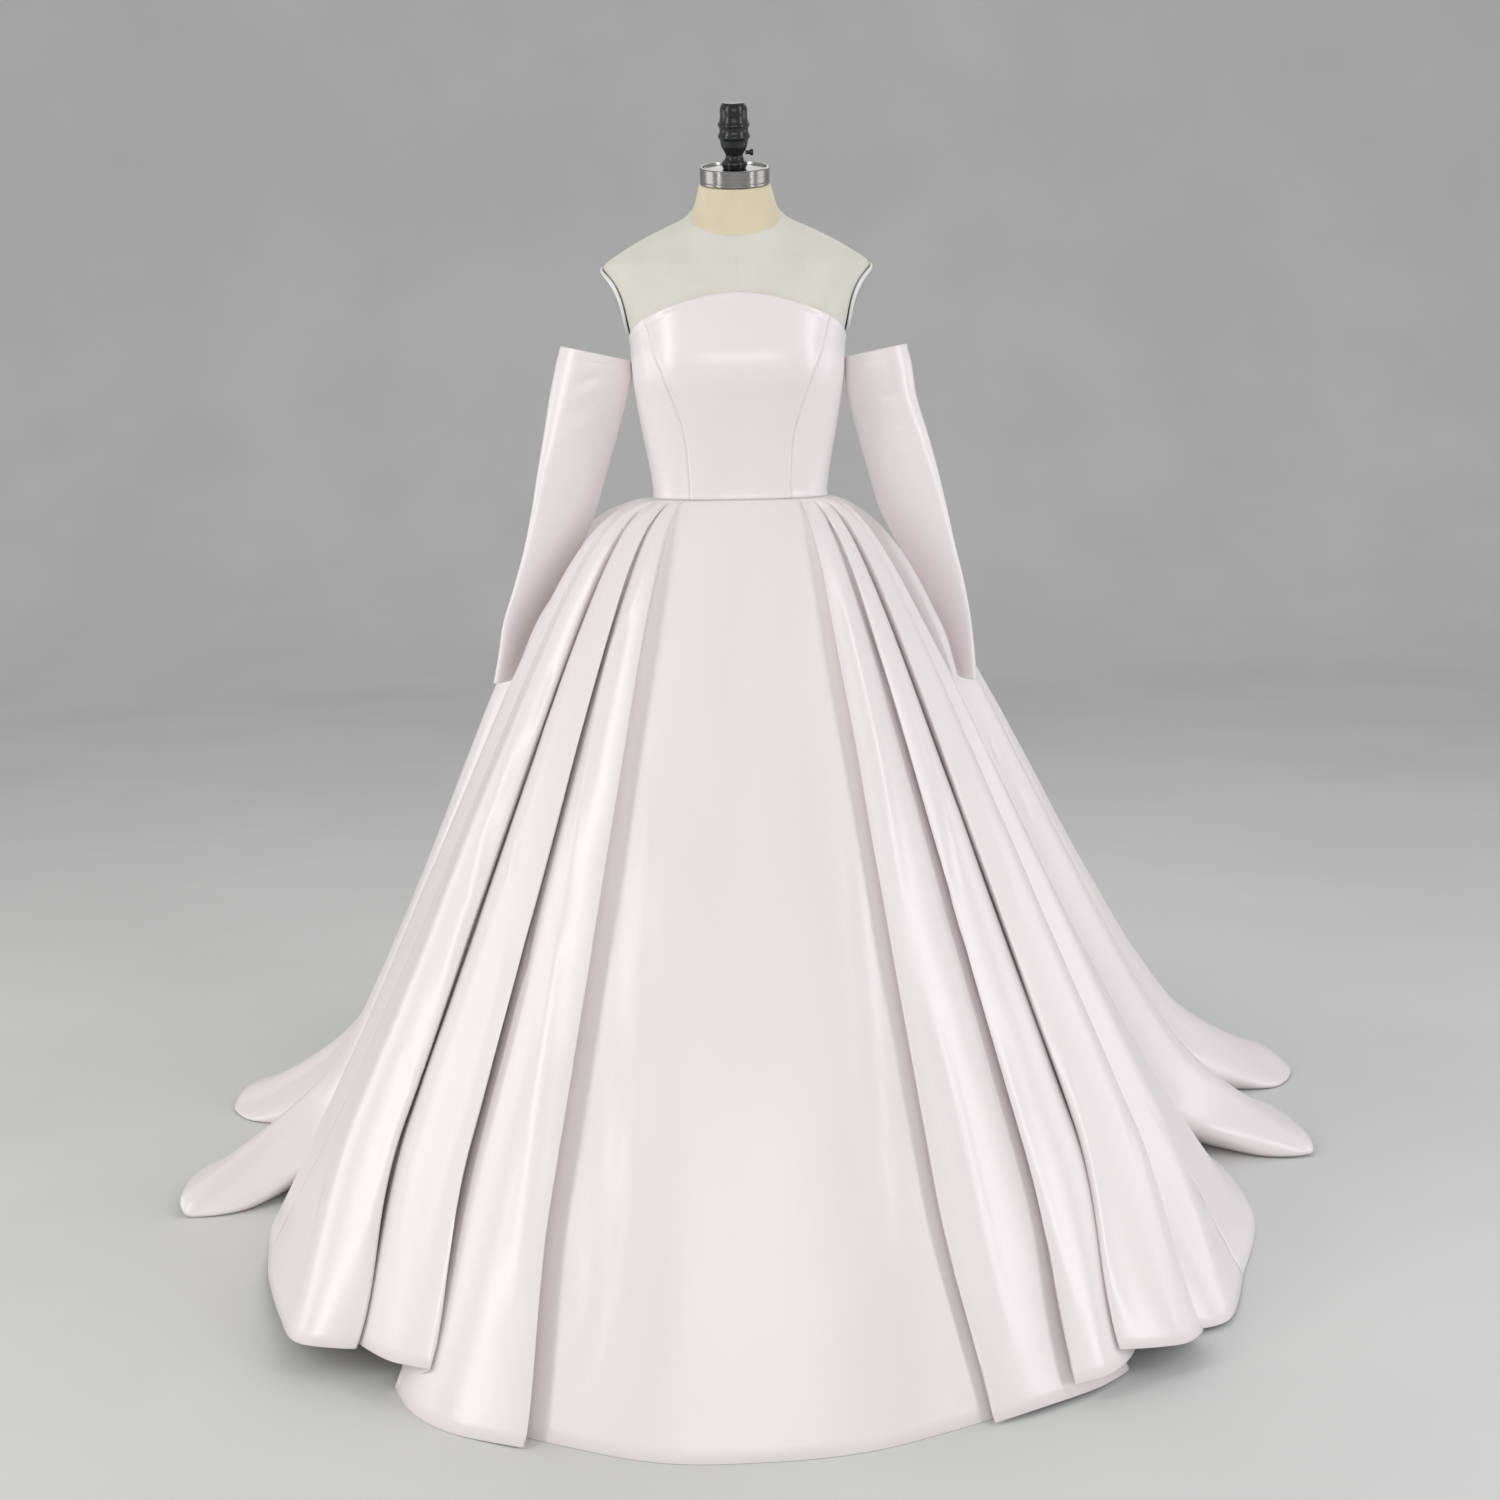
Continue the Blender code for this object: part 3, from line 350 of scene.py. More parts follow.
# Creases of the skirt; one that sinks in has a height below zero
SKIRT_CREASES: tuple[Crease, ...] = (
    Crease(9, 1.5, ((29.55, 0.054), (28.64, 0.125), (27.93, 0.182), (28.37, 0.282), (28.73, 0.384), (28.86, 0.465))),
    Crease(9, 1.7, ((28.86, 0.465), (29.0, 0.517), (29.2, 0.617), (29.32, 0.704), (29.44, 0.804), (29.44, 0.882))),
    Crease(4.5, -1.8, ((27.44, 0.441), (27.64, 0.494), (27.84, 0.546), (27.87, 0.611), (27.91, 0.685), (27.9, 0.734))),
    Crease(9, 1.6, ((22.07, 0.202), (21.95, 0.243), (22.28, 0.296))),
    Crease(9, 1.6, ((24.61, 0.385), (25.12, 0.465))),
    Crease(9, 1.6, ((25.37, 0.51), (25.51, 0.56), (25.59, 0.664), (25.6, 0.742), (25.51, 0.85), (25.38, 0.929))),
    Crease(5, -1.6, ((20.8, 0.46), (21.34, 0.476), (21.63, 0.482))),
    Crease(5, -1.0, ((21.11, 0.36), (21.55, 0.382))),
    Crease(5, -1.3, ((21.62, 0.67), (21.55, 0.685), (21.49, 0.7))),
    Crease(5, -1.3, ((22.05, 0.685), (21.8, 0.701), (21.66, 0.718))),
    Crease(10, 1.3, ((21.21, 0.277), (21.33, 0.328), (21.36, 0.403), (21.52, 0.453), (21.63, 0.542), (21.73, 0.638))),
    Crease(10, 1.3, ((21.79, 0.656), (21.83, 0.746), (21.75, 0.837), (21.56, 0.918))),
    Crease(9, 1.2, ((13.52, 0.313), (13.24, 0.413), (13.09, 0.526))),
    Crease(7, -2.0, ((19.27, 0.814), (20.07, 0.866), (19.67, 0.907), (19.22, 0.983))),
    Crease(7, -1.4, ((18.27, 0.933), (18.23, 0.975), (19.29, 0.972))),
    Crease(8, -0.7, ((31.33, 0.488), (31.5, 0.637), (31.61, 0.782), (31.68, 0.861), (31.62, 0.926), (31.53, 0.975))),
    Crease(8, 0.7, ((31.68, 0.634), (31.77, 0.73), (31.8, 0.825), (31.71, 0.899), (31.66, 0.954))),
    Crease(7, -0.5, ((31.24, 0.228), (31.39, 0.391), (31.5, 0.528), (31.61, 0.671))),
    Crease(7, 0.5, ((31.56, 0.293), (31.62, 0.443), (31.7, 0.588), (31.79, 0.738))),
    Crease(7, -0.5, ((31.34, 0.562), (31.44, 0.685), (31.5, 0.816), (31.51, 0.916))),
    Crease(8, -0.6, ((34.61, 0.43), (34.5, 0.588), (34.4, 0.741), (34.27, 0.881))),
    Crease(8, 0.6, ((34.54, 0.364), (34.41, 0.534), (34.3, 0.698), (34.17, 0.847))),
    Crease(7, -0.5, ((34.5, 0.298), (34.37, 0.448), (34.24, 0.604), (34.11, 0.754))),
    Crease(4.5, -1.6, ((25.44, 0.003), (25.81, 0.016), (25.77, 0.033))),
    Crease(4.5, 1.4, ((27.88, 0.003), (28.99, 0.017), (28.88, 0.035))),
    Crease(4.5, -1.6, ((21.86, 0.01), (21.74, 0.022), (21.67, 0.039))),
    Crease(4.5, -1.6, ((36.33, 0.005), (36.64, 0.018), (36.84, 0.037))),
    Crease(4.5, 1.4, ((39.24, 0.022), (40.41, 0.041))),
    Crease(4.5, -1.6, ((43.64, 0.024), (44.35, 0.041))),
    Crease(9, 1.6, ((37.11, 0.073), (36.91, 0.161), (36.91, 0.248), (36.82, 0.323), (36.67, 0.42), (36.65, 0.491))),
    Crease(9, 1.7, ((36.68, 0.529), (36.77, 0.613), (36.84, 0.696), (36.83, 0.778), (36.8, 0.877), (36.76, 0.95))),
    Crease(5, -1.6, ((41.07, 0.22), (41.01, 0.284), (40.84, 0.348), (40.58, 0.415), (40.39, 0.488))),
    Crease(8, 1.4, ((40.26, 0.589), (40.28, 0.684), (40.28, 0.78), (40.43, 0.863), (40.61, 0.946))),
    Crease(12, 1.8, ((44.4, 0.631), (44.21, 0.753), (44.01, 0.861), (44.27, 0.951), (44.33, 0.984))),
    Crease(7, 1.2, ((44.8, 0.305), (44.76, 0.383), (44.67, 0.466), (44.61, 0.55))),
    Crease(5, -1.5, ((52.95, 0.295), (52.97, 0.309), (52.9, 0.323))),
    Crease(5, -1.5, ((53.27, 0.356), (53.26, 0.372), (53.09, 0.392))),
    Crease(4.5, -2.2, ((47.6, 0.625), (47.52, 0.674))),
    Crease(4.5, -2.2, ((45.43, 0.727), (45.07, 0.8), (45.1, 0.865))),
    Crease(4.5, -2.2, ((45.1, 0.865), (45.2, 0.93), (45.15, 0.992))),
    Crease(6, -2.4, ((47.55, 0.885), (47.83, 0.933), (48.27, 0.978))),
    Crease(6, -2.4, ((47.9, 0.85), (49.08, 0.915), (49.44, 0.976))),
    Crease(6, -1.8, ((49.23, 0.832), (49.08, 0.866), (48.5, 0.888))),
    Crease(7, 1.8, ((47.4, 0.842), (47.88, 0.879), (48.74, 0.955), (49.01, 0.991))),
    Crease(5, -2.0, ((45.15, 0.965), (45.44, 0.979))),
    Crease(7, -1.5, ((47.76, 0.743), (47.85, 0.783), (47.97, 0.809))),
    Crease(9, -1.4, ((0.55, 0.3), (0.6, 0.62), (0.5, 0.93))),
    Crease(8, 1.3, ((1.45, 0.25), (1.5, 0.6), (1.6, 0.9))),
    Crease(9, 1.4, ((2.5, 0.35), (2.45, 0.7), (2.6, 0.95))),
    Crease(8, -1.5, ((3.4, 0.28), (3.5, 0.55), (3.45, 0.88))),
    Crease(9, -1.3, ((4.6, 0.32), (4.5, 0.66), (4.55, 0.94))),
    Crease(8, 1.5, ((5.5, 0.22), (5.55, 0.5), (5.4, 0.84))),
    Crease(8, -1.4, ((6.5, 0.4), (6.4, 0.65), (6.5, 0.9))),
    Crease(9, 1.3, ((9.5, 0.3), (9.45, 0.6), (9.5, 0.86))),
    Crease(8, -1.4, ((11.4, 0.35), (11.5, 0.6), (11.45, 0.85))),
    Crease(8, 1.4, ((13.5, 0.2), (13.4, 0.45), (13.5, 0.7))),
    Crease(8, -1.3, ((15.5, 0.25), (15.55, 0.5), (15.5, 0.8))),
    Crease(8, 1.3, ((50.5, 0.2), (50.6, 0.5), (50.5, 0.75))),
    Crease(8, -1.4, ((52.5, 0.3), (52.4, 0.6), (52.5, 0.86))),
    Crease(9, 1.4, ((54.5, 0.28), (54.6, 0.58), (54.5, 0.88))),
    Crease(8, -1.3, ((56.5, 0.32), (56.4, 0.6), (56.5, 0.9))),
    Crease(9, 1.4, ((58.4, 0.25), (58.5, 0.55), (58.6, 0.9))),
    Crease(8, -1.5, ((60.5, 0.3), (60.4, 0.62), (60.5, 0.92))),
    Crease(9, 1.3, ((62.5, 0.25), (62.55, 0.6), (62.4, 0.94))),
    Crease(9, -1.4, ((64.45, 0.34), (64.5, 0.66), (64.4, 0.95))),
    Crease(8, 1.3, ((65.5, 0.28), (65.45, 0.58), (65.5, 0.9))),
)
# Creases of the sleeves
LEFT_SLEEVE_CREASES: tuple[Crease, ...] = (
    Crease(5, -0.8, ((0.66, 0.609), (0.555, 0.619), (0.46, 0.639))),
    Crease(5, -0.8, ((0.633, 0.691), (0.466, 0.713))),
    Crease(5, -0.7, ((0.626, 0.566), (0.53, 0.551), (0.443, 0.534))),
    Crease(8, -1.1, ((0.542, 0.099), (0.428, 0.163))),
    Crease(8, -1.0, ((0.547, 0.188), (0.429, 0.246))),
    Crease(8, 0.9, ((0.54, 0.247), (0.415, 0.303))),
    Crease(7, -0.8, ((0.551, 0.33), (0.433, 0.379), (0.31, 0.397))),
)
RIGHT_SLEEVE_CREASES: tuple[Crease, ...] = (
    Crease(8, -1.0, ((0.596, 0.181), (0.486, 0.202))),
    Crease(7, -0.8, ((0.582, 0.27), (0.485, 0.281))),
    Crease(7, 0.7, ((0.704, 0.312), (0.559, 0.344), (0.459, 0.345))),
    Crease(6, -0.7, ((0.529, 0.66), (0.389, 0.646))),
    Crease(6, -0.6, ((0.589, 0.845), (0.362, 0.819))),
)


# Curves and grids of points


def smooth_at(keys: Sequence[float], values: Sequence[float], at: np.ndarray) -> np.ndarray:
    """Read a table column at a key with a smooth curve through its rows.

    Args:
        keys: rising keys of the table's rows.
        values: the column's value on each row.
        at: keys to read it at.

    Returns:
        The column's values there.
    """
    keys = np.asarray(keys, float)
    values = np.asarray(values, float)
    at = np.clip(np.asarray(at, float), keys[0], keys[-1])
    index = np.clip(np.searchsorted(keys, at, side="right") - 1, 0, len(keys) - 2)
    slopes = np.gradient(values, keys)
    width = keys[index + 1] - keys[index]
    t = (at - keys[index]) / width
    start, end = values[index], values[index + 1]
    return (
        (2 * t**3 - 3 * t**2 + 1) * start
        + (t**3 - 2 * t**2 + t) * width * slopes[index]
        + (3 * t**2 - 2 * t**3) * end
        + (t**3 - t**2) * width * slopes[index + 1]
    )


def form_point(angle: np.ndarray, z: np.ndarray, out: float = 0.0) -> np.ndarray:
    """Give points of the dress form's surface.

    Args:
        angle: angles from the front, in radians, positive to +X.
        z: heights before the neck's forward lean.
        out: distance added to the radius.

    Returns:
        Points with X, Y and Z on the last axis.
    """
    heights = [row.z for row in FORM]
    half_width, front, back, power, tilt, shift = (
        smooth_at(heights, [getattr(row, name) for row in FORM], z)
        for name in ("half_width", "front", "back", "power", "tilt", "shift")
    )
    depth = np.where(np.cos(angle) > 0, front, back)
    across = (np.abs(np.sin(angle)) / half_width) ** power
    along = (np.abs(np.cos(angle)) / depth) ** power
    radius = (across + along) ** (-1 / power) + out
    drop = np.tan(np.radians(tilt)) * radius * np.cos(angle)
    return np.stack([radius * np.sin(angle), shift - radius * np.cos(angle), z - drop], -1)


def grid_normals(grid: np.ndarray, closed: bool) -> np.ndarray:
    """Give the unit normals of a grid whose rows run down and columns run round.

    Args:
        grid: points, rows by columns by 3.
        closed: whether the last column joins the first.

    Returns:
        Outward unit normals, shaped as the grid.
    """
    down = np.gradient(grid, axis=0)
    if closed:
        ring = np.concatenate([grid[:, -1:], grid, grid[:, :1]], axis=1)
        across = (ring[:, 2:] - ring[:, :-2]) / 2
    else:
        across = np.gradient(grid, axis=1)
    normal = np.cross(down, across)
    length = np.linalg.norm(normal, axis=-1, keepdims=True)
    return normal / np.maximum(length, 1e-12)


def swell(points: np.ndarray, wavelength: float, seed: float) -> np.ndarray:
    """Give a slow, uneven rise and fall over space, from -1 to 1, the same on every run.

    Args:
        points: points to read it at.
        wavelength: mean distance between two rises, in metres.
        seed: shifts the pattern.

    Returns:
        One value for each point.
    """
    total = np.zeros(points.shape[:-1])
    for step in range(5):
        turn = seed + 2.399 * step
        way = np.array([math.cos(turn), math.sin(turn * 1.3), 0.55 * math.sin(turn * 2.1 + 0.7)])
        pitch = 2 * math.pi / wavelength * (0.8 + 0.17 * step)
        total += np.sin(points @ way * pitch + turn * 3.7)
    return total / 5 * 1.6


@dataclass(frozen=True)
class PressLine:
    """A soft crease or ridge pressed into the cloth along a path.

    Args:
        path: points of the path, as column and row positions in the grid.
        width: half width of the line, in metres.
        height: how far it sinks or stands out, in metres.
        pull: trough or ridge.
        fade: share of the path's length over which each end dies away.
    """

    path: tuple[tuple[float, float], ...]
    width: float
    height: float
    pull: Pull = Pull.TROUGH
    fade: float = 0.22


def sample_grid(grid: np.ndarray, column: np.ndarray, row: np.ndarray) -> np.ndarray:
    """Read a grid of points between its rows and columns.

    Args:
        grid: points, rows by columns by 3.
        column: column positions, which wrap round.
        row: row positions.

    Returns:
        One point for each position.
    """
    rows, columns = grid.shape[:2]
    row = np.clip(row, 0, rows - 1.001)
    r0, c0 = np.floor(row).astype(int), np.floor(column).astype(int)
    fr, fc = (row - r0)[:, None], (column - c0)[:, None]
    c1 = (c0 + 1) % columns
    c0 = c0 % columns
    high = grid[r0, c0] * (1 - fc) + grid[r0, c1] * fc
    low = grid[r0 + 1, c0] * (1 - fc) + grid[r0 + 1, c1] * fc
    return high * (1 - fr) + low * fr


def press(grid: np.ndarray, normal: np.ndarray, lines: Sequence[PressLine]) -> np.ndarray:
    """Press creases and ridges into a grid of points.

    Args:
        grid: points, rows by columns by 3.
        normal: its outward unit normals.
        lines: press lines, placed by the grid's own columns and rows.

    Returns:
        The height to move each point out by.
    """
    lift = np.zeros(grid.shape[:2])
    for line in lines:
        path = np.asarray(line.path, float)
        share = np.linspace(0, 1, 48)
        keys = np.linspace(0, 1, len(path))
        column = smooth_at(keys, path[:, 0], share) if len(path) > 2 else np.interp(share, keys, path[:, 0])
        row = smooth_at(keys, path[:, 1], share) if len(path) > 2 else np.interp(share, keys, path[:, 1])
        points = sample_grid(grid, column, row)
        reach = line.width * 3.2
        low, high = points.min(0) - reach, points.max(0) + reach
        near = np.all((grid >= low) & (grid <= high), axis=-1)
        if not near.any():
            continue
        here = grid[near]
        start, step = points[:-1], np.diff(points, axis=0)
        size = np.maximum((step**2).sum(-1), 1e-12)
        along = np.clip(((here[:, None] - start) * step).sum(-1) / size, 0, 1)
        offset = here[:, None] - (start + step * along[..., None])
        distance = np.linalg.norm(offset, axis=-1)
        best = distance.argmin(1)
        pick = np.arange(len(best))
        at = (best + along[pick, best]) / len(step)
        q = (distance[pick, best] / line.width) ** 2
        ends = np.clip(np.minimum(at, 1 - at) / max(line.fade, 1e-6), 0, 1)
        ends = ends * ends * (3 - 2 * ends)
        lift[near] += line.pull.value * line.height * ends * np.exp(-q) * (1 - 0.45 * q)
    return lift


def arc_lengths(grid: np.ndarray) -> np.ndarray:
    """Give each point its place on the flat cloth, in metres across and down.

    Args:
        grid: points, rows by columns by 3.

    Returns:
        Positions across and down, rows by columns by 2.
    """
    across = np.zeros(grid.shape[:2])
    across[:, 1:] = np.cumsum(np.linalg.norm(np.diff(grid, axis=1), axis=-1), axis=1)
    across -= across[:, grid.shape[1] // 2][:, None]
    down = np.zeros(grid.shape[:2])
    down[1:] = np.cumsum(np.linalg.norm(np.diff(grid, axis=0), axis=-1), axis=0)
    return np.stack([across, down], -1)


def grid_area(grid: np.ndarray) -> float:
    """Give the area of a grid of points, in square metres."""
    one = np.cross(grid[1:, :-1] - grid[:-1, :-1], grid[:-1, 1:] - grid[:-1, :-1])
    two = np.cross(grid[1:, :-1] - grid[1:, 1:], grid[:-1, 1:] - grid[1:, 1:])
    return float((np.linalg.norm(one, axis=-1) + np.linalg.norm(two, axis=-1)).sum() / 2)


def cut_of(grid: np.ndarray) -> tuple[float, float, float]:
    """Give a grid's greatest width, greatest length and area, in metres."""
    across = np.linalg.norm(np.diff(grid, axis=1), axis=-1).sum(1).max()
    down = np.linalg.norm(np.diff(grid, axis=0), axis=-1).sum(0).max()
    return float(across), float(down), grid_area(grid)


def link_mesh(
    name: str,
    points: np.ndarray,
    faces: np.ndarray,
    corners: np.ndarray,
    look: bpy.types.Material,
    sharp: float = 120.0,
) -> bpy.types.Object:
    """Make and link one mesh.

    Args:
        name: name of the piece.
        points: its points.
        faces: four corners a face.
        corners: place on the flat material for each face corner, faces by 4 by 2.
        look: its material.
        sharp: angle in degrees past which an edge stays sharp.

    Returns:
        The piece.
    """
    mesh = bpy.data.meshes.new(name)
    mesh.from_pydata(points.tolist(), [], faces.tolist())
    layer = mesh.uv_layers.new(name="cloth")
    layer.data.foreach_set("uv", np.ascontiguousarray(corners, dtype=np.float32).ravel())
    mesh.shade_smooth()
    mesh.set_sharp_from_angle(angle=math.radians(sharp))
    mesh.materials.append(look)
    mesh.update()
    piece = bpy.data.objects.new(name, mesh)
    bpy.context.scene.collection.objects.link(piece)
    return piece


def cloth_wall(
    name: str,
    outer: np.ndarray,
    thickness: float,
    look: bpy.types.Material,
    normal: Union[np.ndarray, None] = None,
    floor: Union[float, None] = None,
) -> bpy.types.Object:
    """Make a thin cloth wall with rounded top and bottom edges from its outer side.

    Args:
        name: name of the piece.
        outer: outer side, rows by columns by 3; a tube names its seam's column twice.
        thickness: thickness of the cloth, in metres.
        look: its material.
        normal: outward unit normals, worked out from the grid where left out.
        floor: lowest height that the cloth may reach.

    Returns:
        The piece.
    """
    normal = grid_normals(outer, False) if normal is None else normal
    inner = outer - normal * thickness
    rows, columns = outer.shape[:2]
    down = np.gradient(outer, axis=0)
    down /= np.maximum(np.linalg.norm(down, axis=-1, keepdims=True), 1e-12)
    roll = np.zeros_like(outer)
    roll[0], roll[-1] = -down[0] * thickness * 0.45, down[-1] * thickness * 0.45
    place = arc_lengths(outer)
    index = np.arange(rows * columns).reshape(rows, columns)
    border = np.concatenate([index[0, :-1], index[:-1, -1], index[-1, :0:-1], index[:0:-1, 0]])
    rim = ((outer + inner) / 2 + roll).reshape(-1, 3)[border]
    points = np.concatenate([outer.reshape(-1, 3), inner.reshape(-1, 3), rim])
    if floor is not None:
        points[:, 2] = np.maximum(points[:, 2], floor)
    flat = place.reshape(-1, 2)
    flat = np.concatenate([flat, flat, flat[border]])
    front = np.stack([index[:-1, :-1], index[1:, :-1], index[1:, 1:], index[:-1, 1:]], -1).reshape(-1, 4)
    back = front[:, ::-1] + rows * columns
    edge = 2 * rows * columns + np.arange(len(border))
    edge_next, border_next = np.roll(edge, -1), np.roll(border, -1)
    outside = np.stack([border, border_next, edge_next, edge], 1)
    inside = np.stack([edge, edge_next, border_next + rows * columns, border + rows * columns], 1)
    faces = np.concatenate([front, back, outside, inside])
    return link_mesh(name, points, faces, flat[faces], look)


def turned_mesh(
    name: str,
    profile: Sequence[tuple[float, float]],
    center: tuple[float, float, float],
    look: bpy.types.Material,
    segments: int = 96,
    tilt: float = 0.0,
    bevel: float = 0.0005,
) -> bpy.types.Object:
    """Turn a profile round an upright axis, with its corners broken by small rounds.

    Args:
        name: name of the piece.
        profile: heights and radii, from the lowest to the highest.
        center: point on the axis at height zero.
        look: its material.
        segments: steps round the axis.
        tilt: forward lean of the axis, in degrees.
        bevel: length of each broken corner, in metres.

    Returns:
        The piece.
    """
    rows = [(profile[0][0], 1e-4)]
    knots = [(profile[0][0], 0.0)] + list(profile) + [(profile[-1][0], 0.0)]
    for before, here, after in zip(knots[:-2], knots[1:-1], knots[2:]):
        here_v = np.array(here)
        for near, share in ((before, 1.0), (before, 0.35), (after, 0.35), (after, 1.0)):
            way = np.array(near) - here_v
            size = np.linalg.norm(way)
            rows.append(tuple(here_v + way / size * min(bevel * share, size * 0.45 * share)))
    rows.append((profile[-1][0], 1e-4))
    angles = np.linspace(0, 2 * math.pi, segments + 1)
    lean = math.radians(tilt)
    height, radius = np.array(rows)[:, 0][:, None], np.array(rows)[:, 1][:, None]
    x, y = radius * np.cos(angles), radius * np.sin(angles)
    tall = np.broadcast_to(height, x.shape)
    grid = np.stack(
        [
            center[0] + x,
            center[1] + y * math.cos(lean) - tall * math.sin(lean),
            center[2] + y * math.sin(lean) + tall * math.cos(lean),
        ],
        -1,
    )
    count = len(rows)
    index = np.arange(count * (segments + 1)).reshape(count, segments + 1)
    index[:, -1] = index[:, 0]
    faces = np.stack([index[:-1, :-1], index[:-1, 1:], index[1:, 1:], index[1:, :-1]], -1).reshape(-1, 4)
    run = np.concatenate([[0], np.cumsum(np.linalg.norm(np.diff(np.array(rows), axis=0), axis=1))])
    flat = np.stack(
        [np.broadcast_to(angles * max(row[1] for row in rows), x.shape), np.broadcast_to(run[:, None], x.shape)],
        -1,
    )
    spots = np.stack([flat[:-1, :-1], flat[:-1, 1:], flat[1:, 1:], flat[1:, :-1]], 2).reshape(-1, 4, 2)
    return link_mesh(name, grid.reshape(-1, 3), faces, spots, look, sharp=40)


# Finishes


def linear(hex_code: str) -> tuple[float, float, float, float]:
    """Turn an sRGB hex value into a linear colour.

    Args:
        hex_code: six hex digits, with or without a leading hash.

    Returns:
        Red, green, blue and an alpha of one.
    """
    parts = [int(hex_code.lstrip("#")[at : at + 2], 16) / 255 for at in (0, 2, 4)]
    red, green, blue = ((p / 12.92 if p <= 0.04045 else ((p + 0.055) / 1.055) ** 2.4) for p in parts)
    return red, green, blue, 1.0


def add_node(
    tree: bpy.types.NodeTree,
    kind: str,
    settings: Union[dict, None] = None,
    inputs: Union[dict, None] = None,
) -> bpy.types.Node:
    """Add one node with its settings and links.

    Args:
        tree: node tree to add it to.
        kind: the node's type name.
        settings: properties to set on it.
        inputs: values or output sockets for its inputs, by name or number.

    Returns:
        The node.
    """
    node = tree.nodes.new(kind)
    for name, value in (settings or {}).items():
        setattr(node, name, value)
    for name, value in (inputs or {}).items():
        socket = node.inputs[name]
        if isinstance(value, bpy.types.NodeSocket):
            tree.links.new(value, socket)
        else:
            socket.default_value = value
    return node


def start_finish(name: str, values: dict) -> tuple[bpy.types.Material, bpy.types.NodeTree, bpy.types.Node]:
    """Start a material with its shader's even values set.

    Args:
        name: name of the material.
        values: values for the shader's sockets, by name.

    Returns:
        The material, its node tree and its shader.
    """
    look = bpy.data.materials.new(name)
    look.use_nodes = True
    tree = look.node_tree
    shader = tree.nodes["Principled BSDF"]
    for socket, value in values.items():
        shader.inputs[socket].default_value = value
    return look, tree, shader


@dataclass(frozen=True)
class DuchesseSatin:
    """Heavy polyester duchesse satin, woven with long warp floats and calendered."""

    name: str = "duchesse_satin_woven"
    light: str = "#F0EAEA"
    blush: str = "#EBE3E3"
    warp_pitch: float = 2.2 * MILLIMETRE
    crumple: float = 22 * MILLIMETRE
    slub_length: float = 160 * MILLIMETRE
    slub_width: float = 40 * MILLIMETRE
    cockle: float = 60 * MILLIMETRE

    def material(self) -> bpy.types.Material:
        """Build the satin: smooth and pale, with a broad soft lustre that runs down each fold.

        Returns:
            The material.
        """
        # The floats lie side by side, so light slides along them: a middling roughness and a little
        # fibre sheen give the eye a pearly band on each ridge and a soft blush in each hollow.
        look, tree, shader = start_finish(
            self.name,
            {"Roughness": 0.29, "IOR": 1.55, "Specular IOR Level": 0.8, "Sheen Weight": 0.08,
             "Sheen Roughness": 0.4},
        )
        place = add_node(tree, "ShaderNodeUVMap", {"uv_map": "cloth"}).outputs[0]
        # Real warp floats are 0.1 mm apart; they are drawn 2.2 mm apart, as fine as the render shows
        floats_at = add_node(
            tree, "ShaderNodeMapping", inputs={"Vector": place, "Scale": (1 / self.warp_pitch, 14, 1)}
        )
        floats = add_node(
            tree, "ShaderNodeTexNoise", inputs={"Vector": floats_at.outputs[0], "Scale": 1.0, "Detail": 2.0}
        )
        slub_at = add_node(
            tree,
            "ShaderNodeMapping",
            inputs={"Vector": place, "Scale": (1 / self.slub_width, 1 / self.slub_length, 1)},
        )
        slubs = add_node(
            tree, "ShaderNodeTexNoise", inputs={"Vector": slub_at.outputs[0], "Scale": 0.5, "Detail": 1.0}
        )
        cockles_at = add_node(
            tree,
            "ShaderNodeMapping",
            inputs={"Vector": place, "Scale": (1 / self.cockle, 0.35 / self.cockle, 1)},
        )
        cockles = add_node(
            tree, "ShaderNodeTexNoise", inputs={"Vector": cockles_at.outputs[0], "Scale": 1.0, "Detail": 1.0}
        )
        tint = add_node(tree, "ShaderNodeValToRGB", inputs={"Fac": slubs.outputs["Fac"]})
        tint.color_ramp.elements[0].color, tint.color_ramp.elements[1].color = linear(self.blush), linear(self.light)
        tree.links.new(tint.outputs["Color"], shader.inputs["Base Color"])
        polish = add_node(
            tree,
            "ShaderNodeMapRange",
            inputs={"Value": cockles.outputs["Fac"], "To Min": 0.27, "To Max": 0.32},
        )
        tree.links.new(polish.outputs[0], shader.inputs["Roughness"])
        cockle_bump = add_node(
            tree,
            "ShaderNodeBump",
            inputs={"Height": cockles.outputs["Fac"], "Strength": 0.25, "Distance": 1.0 * MILLIMETRE},
        )
        crumples = add_node(
            tree, "ShaderNodeTexNoise", inputs={"Vector": place, "Scale": 1 / self.crumple, "Detail": 3.0}
        )
        crumple_bump = add_node(
            tree,
            "ShaderNodeBump",
            inputs={"Height": crumples.outputs["Fac"], "Strength": 0.3, "Distance": 0.9 * MILLIMETRE,
                    "Normal": cockle_bump.outputs[0]},
        )
        slub_bump = add_node(
            tree,
            "ShaderNodeBump",
            inputs={"Height": slubs.outputs["Fac"], "Strength": 0.1, "Distance": 0.08 * MILLIMETRE,
                    "Normal": crumple_bump.outputs[0]},
        )
        weave_bump = add_node(
            tree,
            "ShaderNodeBump",
            inputs={"Height": floats.outputs["Fac"], "Strength": 0.3, "Distance": 0.08 * MILLIMETRE,
                    "Normal": slub_bump.outputs[0]},
        )
        tree.links.new(weave_bump.outputs[0], shader.inputs["Normal"])
        return look


